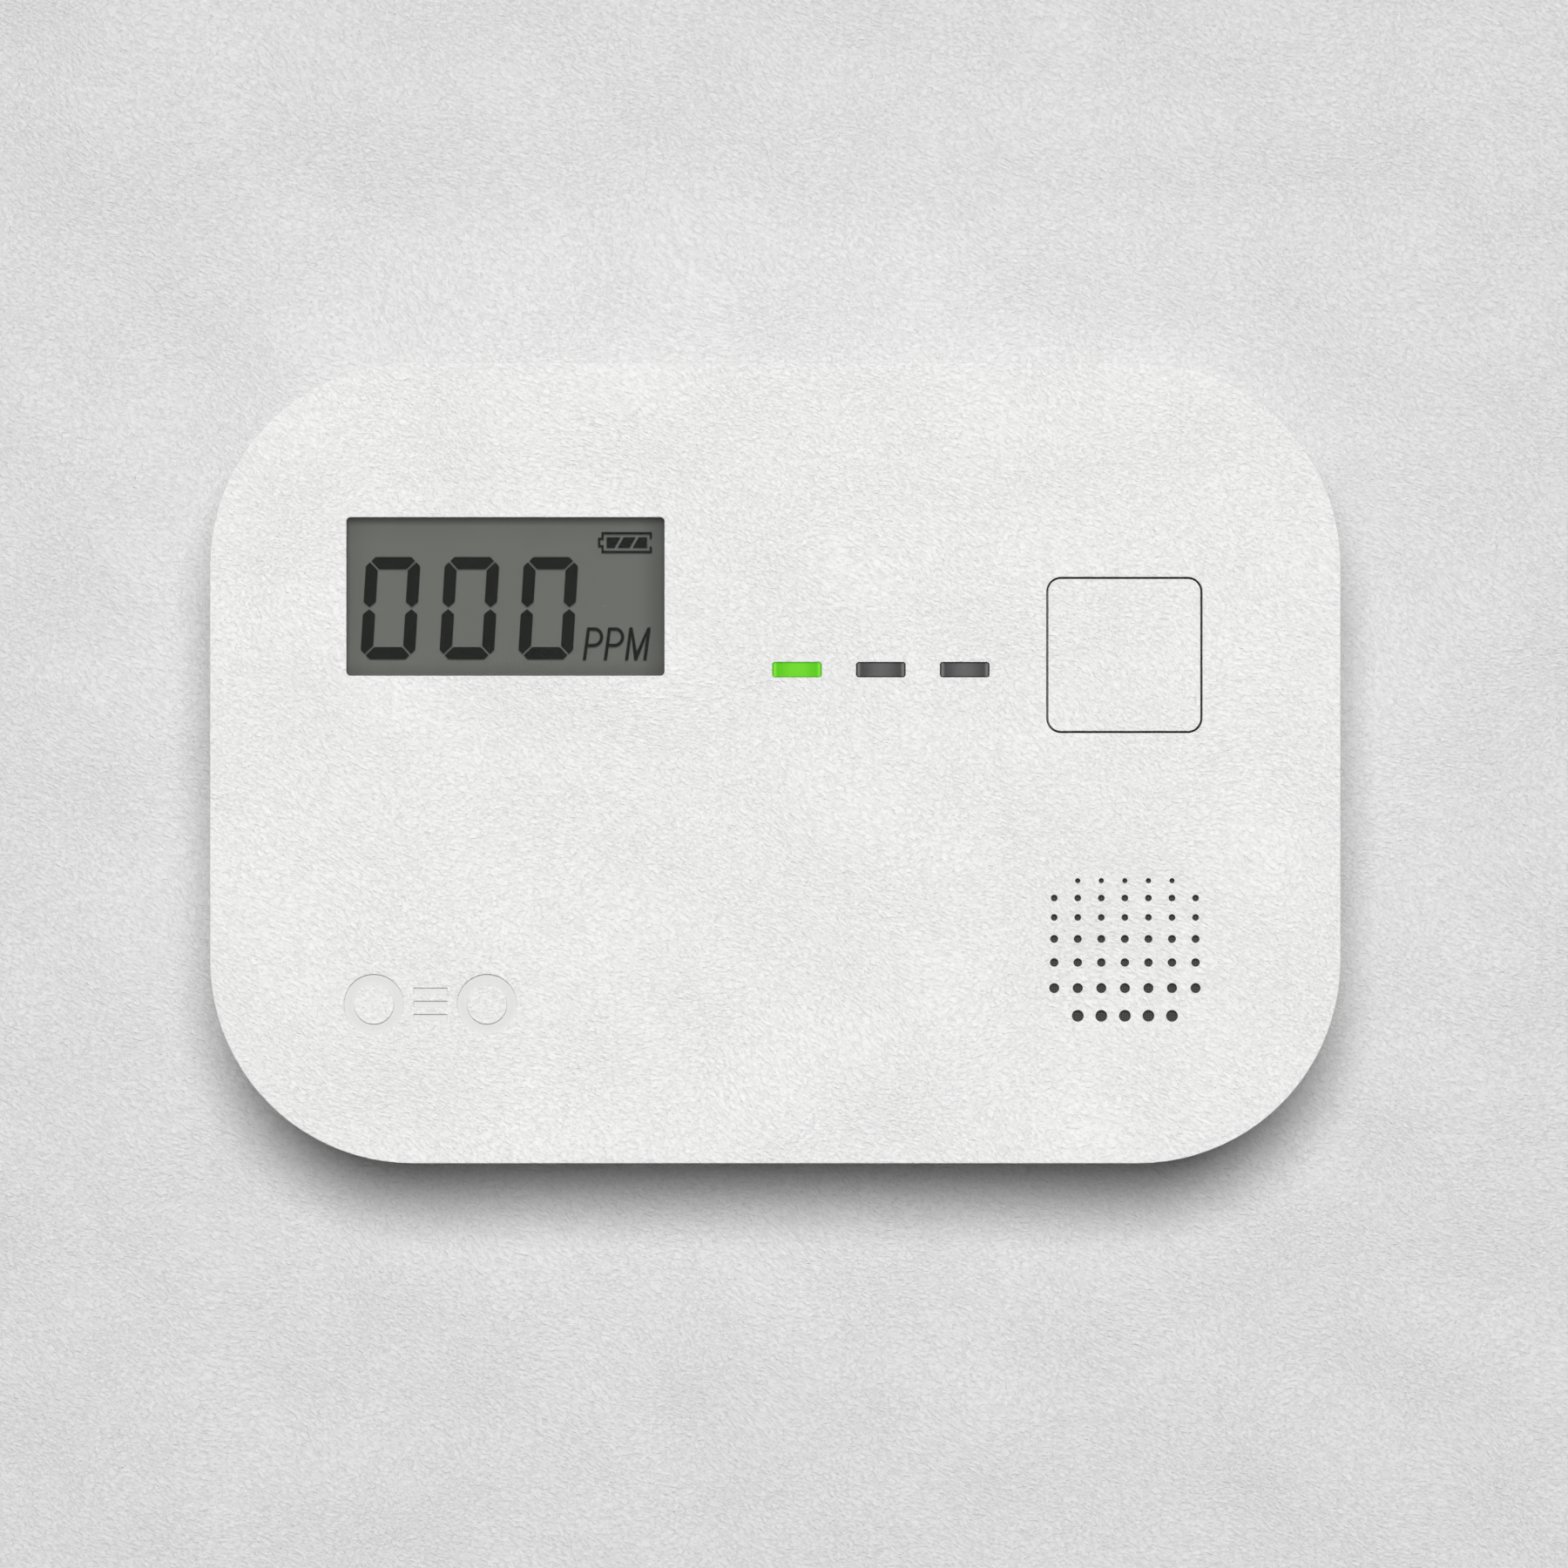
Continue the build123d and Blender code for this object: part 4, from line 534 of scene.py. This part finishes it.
for part in frame["record"]["subparts"]:
    for material_slot in frame["nodes"][part["node"]].material_slots:
        material_slot.material = materials[part["material_slot"]]

# The clear layers over the reflector cast no shadow, so only the segments darken it.
for clear_node in ("display_lens", "display_front_glass", "display_rear_glass"):
    frame["nodes"][clear_node].visible_shadow = False

# ---------------------------------------------------------------- stage, lights and camera
WALL_GAP = 0.1 * MM
WALL_SIZE = 3.0
FLOOR_SIZE = 6.0
FLOOR_DROP = 1.2


def one_sided(name, colour, grain):
    """A painted plaster surface that is seen only from its front."""
    roughness, specular = 0.8, 0.2
    depth = 0.8 * grain
    material, tree, shader = grained_surface(name, colour, roughness, grain, depth, specular)
    output = next(n for n in tree.nodes if n.type == "OUTPUT_MATERIAL")
    seen_from_behind = add(tree, "ShaderNodeNewGeometry").outputs["Backfacing"]
    nothing = add(tree, "ShaderNodeBsdfTransparent").outputs["BSDF"]
    mix = add(
        tree, "ShaderNodeMixShader", {0: seen_from_behind, 1: shader.outputs["BSDF"], 2: nothing}
    )
    feed(tree, output.inputs["Surface"], mix.outputs["Shader"])
    return material


def add_to_scene(name, data):
    """A new object in the scene with this mesh, light or camera."""
    made = bpy.data.objects.new(name, data)
    bpy.context.scene.collection.objects.link(made)
    return made


def stage_plane(name, centre, normal, size, material):
    """A large square that faces along normal and casts no shadow."""
    mesh = bpy.data.meshes.new(name)
    half = size / 2
    turn = normal.to_track_quat("Z", "Y").to_matrix()
    corners = [
        centre + turn @ Vector((x * half, y * half, 0))
        for x, y in ((-1, -1), (1, -1), (1, 1), (-1, 1))
    ]
    mesh.from_pydata(corners, [], [(0, 1, 2, 3)])
    mesh.materials.append(material)
    made = add_to_scene(name, mesh)
    made.visible_shadow = False
    return made


def backdrop_dome(radius):
    """A pale surround that only the camera and reflections see."""
    mesh = bpy.data.meshes.new("surround")
    shape = bmesh.new()
    bmesh.ops.create_icosphere(shape, subdivisions=3, radius=radius)
    bmesh.ops.translate(shape, verts=shape.verts, vec=case_centre)
    shape.to_mesh(mesh)
    shape.free()
    material, tree, shader = new_material("surround")
    set_inputs(tree, shader, Base_Color=BLACK, Roughness=1.0, Specular_IOR_Level=0.0)
    set_inputs(tree, shader, Emission_Color=(0.72, 0.72, 0.715, 1), Emission_Strength=1.0)
    mesh.materials.append(material)
    made = add_to_scene("surround", mesh)
    made.visible_diffuse = False
    made.visible_shadow = False
    made.visible_transmission = False


def towards(elevation, azimuth=0.0):
    """Unit vector out from the case: azimuth 0 is straight out of the wall, elevation is up."""
    e, a = math.radians(elevation), math.radians(azimuth)
    return Vector((math.sin(a) * math.cos(e), -math.cos(a) * math.cos(e), math.sin(e)))


def area_light(name, direction, distance, width, height, power):
    """A soft oval light that looks at the case from this direction and leaves no glint."""
    data = bpy.data.lights.new(name, "AREA")
    data.shape = "ELLIPSE"
    data.size = width
    data.size_y = height
    data.energy = power
    lamp = add_to_scene(name, data)
    lamp.location = case_centre + direction.normalized() * distance
    lamp.rotation_mode = "QUATERNION"
    lamp.rotation_quaternion = direction.to_track_quat("Z", "Y")
    lamp.visible_glossy = False
    return lamp


stage_plane(
    "wall",
    Vector((0, WALL_GAP, case_centre.z)),
    Vector((0, -1, 0)),
    WALL_SIZE,
    one_sided("wall_plaster", (0.665, 0.665, 0.665, 1), 0.33 * MM),
)
floor_plane = stage_plane(
    "floor",
    Vector((0, 0, case_centre.z - FLOOR_DROP)),
    Vector((0, 0, 1)),
    FLOOR_SIZE,
    one_sided("floor_plaster", (0.6, 0.6, 0.596, 1), 2.0 * MM),
)
# The floor throws no light back up, so the shadow under the case stays deep.
floor_plane.visible_diffuse = False
backdrop_dome(radius=5.0)

area_light("key", towards(elevation=8.1), distance=4.0, width=1.125, height=1.08, power=192.0)
back_light = area_light(
    "back", towards(elevation=0, azimuth=180), distance=2.0, width=0.8, height=0.8, power=14.0
)
# The lamp behind shines on the detector alone, and the wall gets none of it directly.
object_only = bpy.data.collections.new("object_only")
for node in frame["nodes"].values():
    object_only.objects.link(node)
back_light.light_linking.receiver_collection = object_only

world = bpy.data.worlds.new("studio")
bpy.context.scene.world = world
world.use_nodes = True
world.node_tree.nodes["Background"].inputs["Color"].default_value = (1, 1, 1, 1)
world.node_tree.nodes["Background"].inputs["Strength"].default_value = 0.02

# A long lens looks straight at the face, and takes in this width of it.
VIEW_WIDTH = 166.4 * MM
VIEW_DISTANCE = 1.5
VIEW_OFFSET = Vector((0.924 * MM, 0, -2.243 * MM))
camera_data = bpy.data.cameras.new("camera")
camera_data.sensor_width = 36.0
camera_data.lens = camera_data.sensor_width * VIEW_DISTANCE / VIEW_WIDTH
camera_data.clip_start = 0.01
camera_data.clip_end = 20.0
camera = add_to_scene("camera", camera_data)
camera.location = Vector((case_centre.x, face_y - VIEW_DISTANCE, case_centre.z)) + VIEW_OFFSET
camera.rotation_euler = (math.pi / 2, 0, 0)
bpy.context.scene.camera = camera
bpy.context.scene.view_settings.view_transform = "Standard"
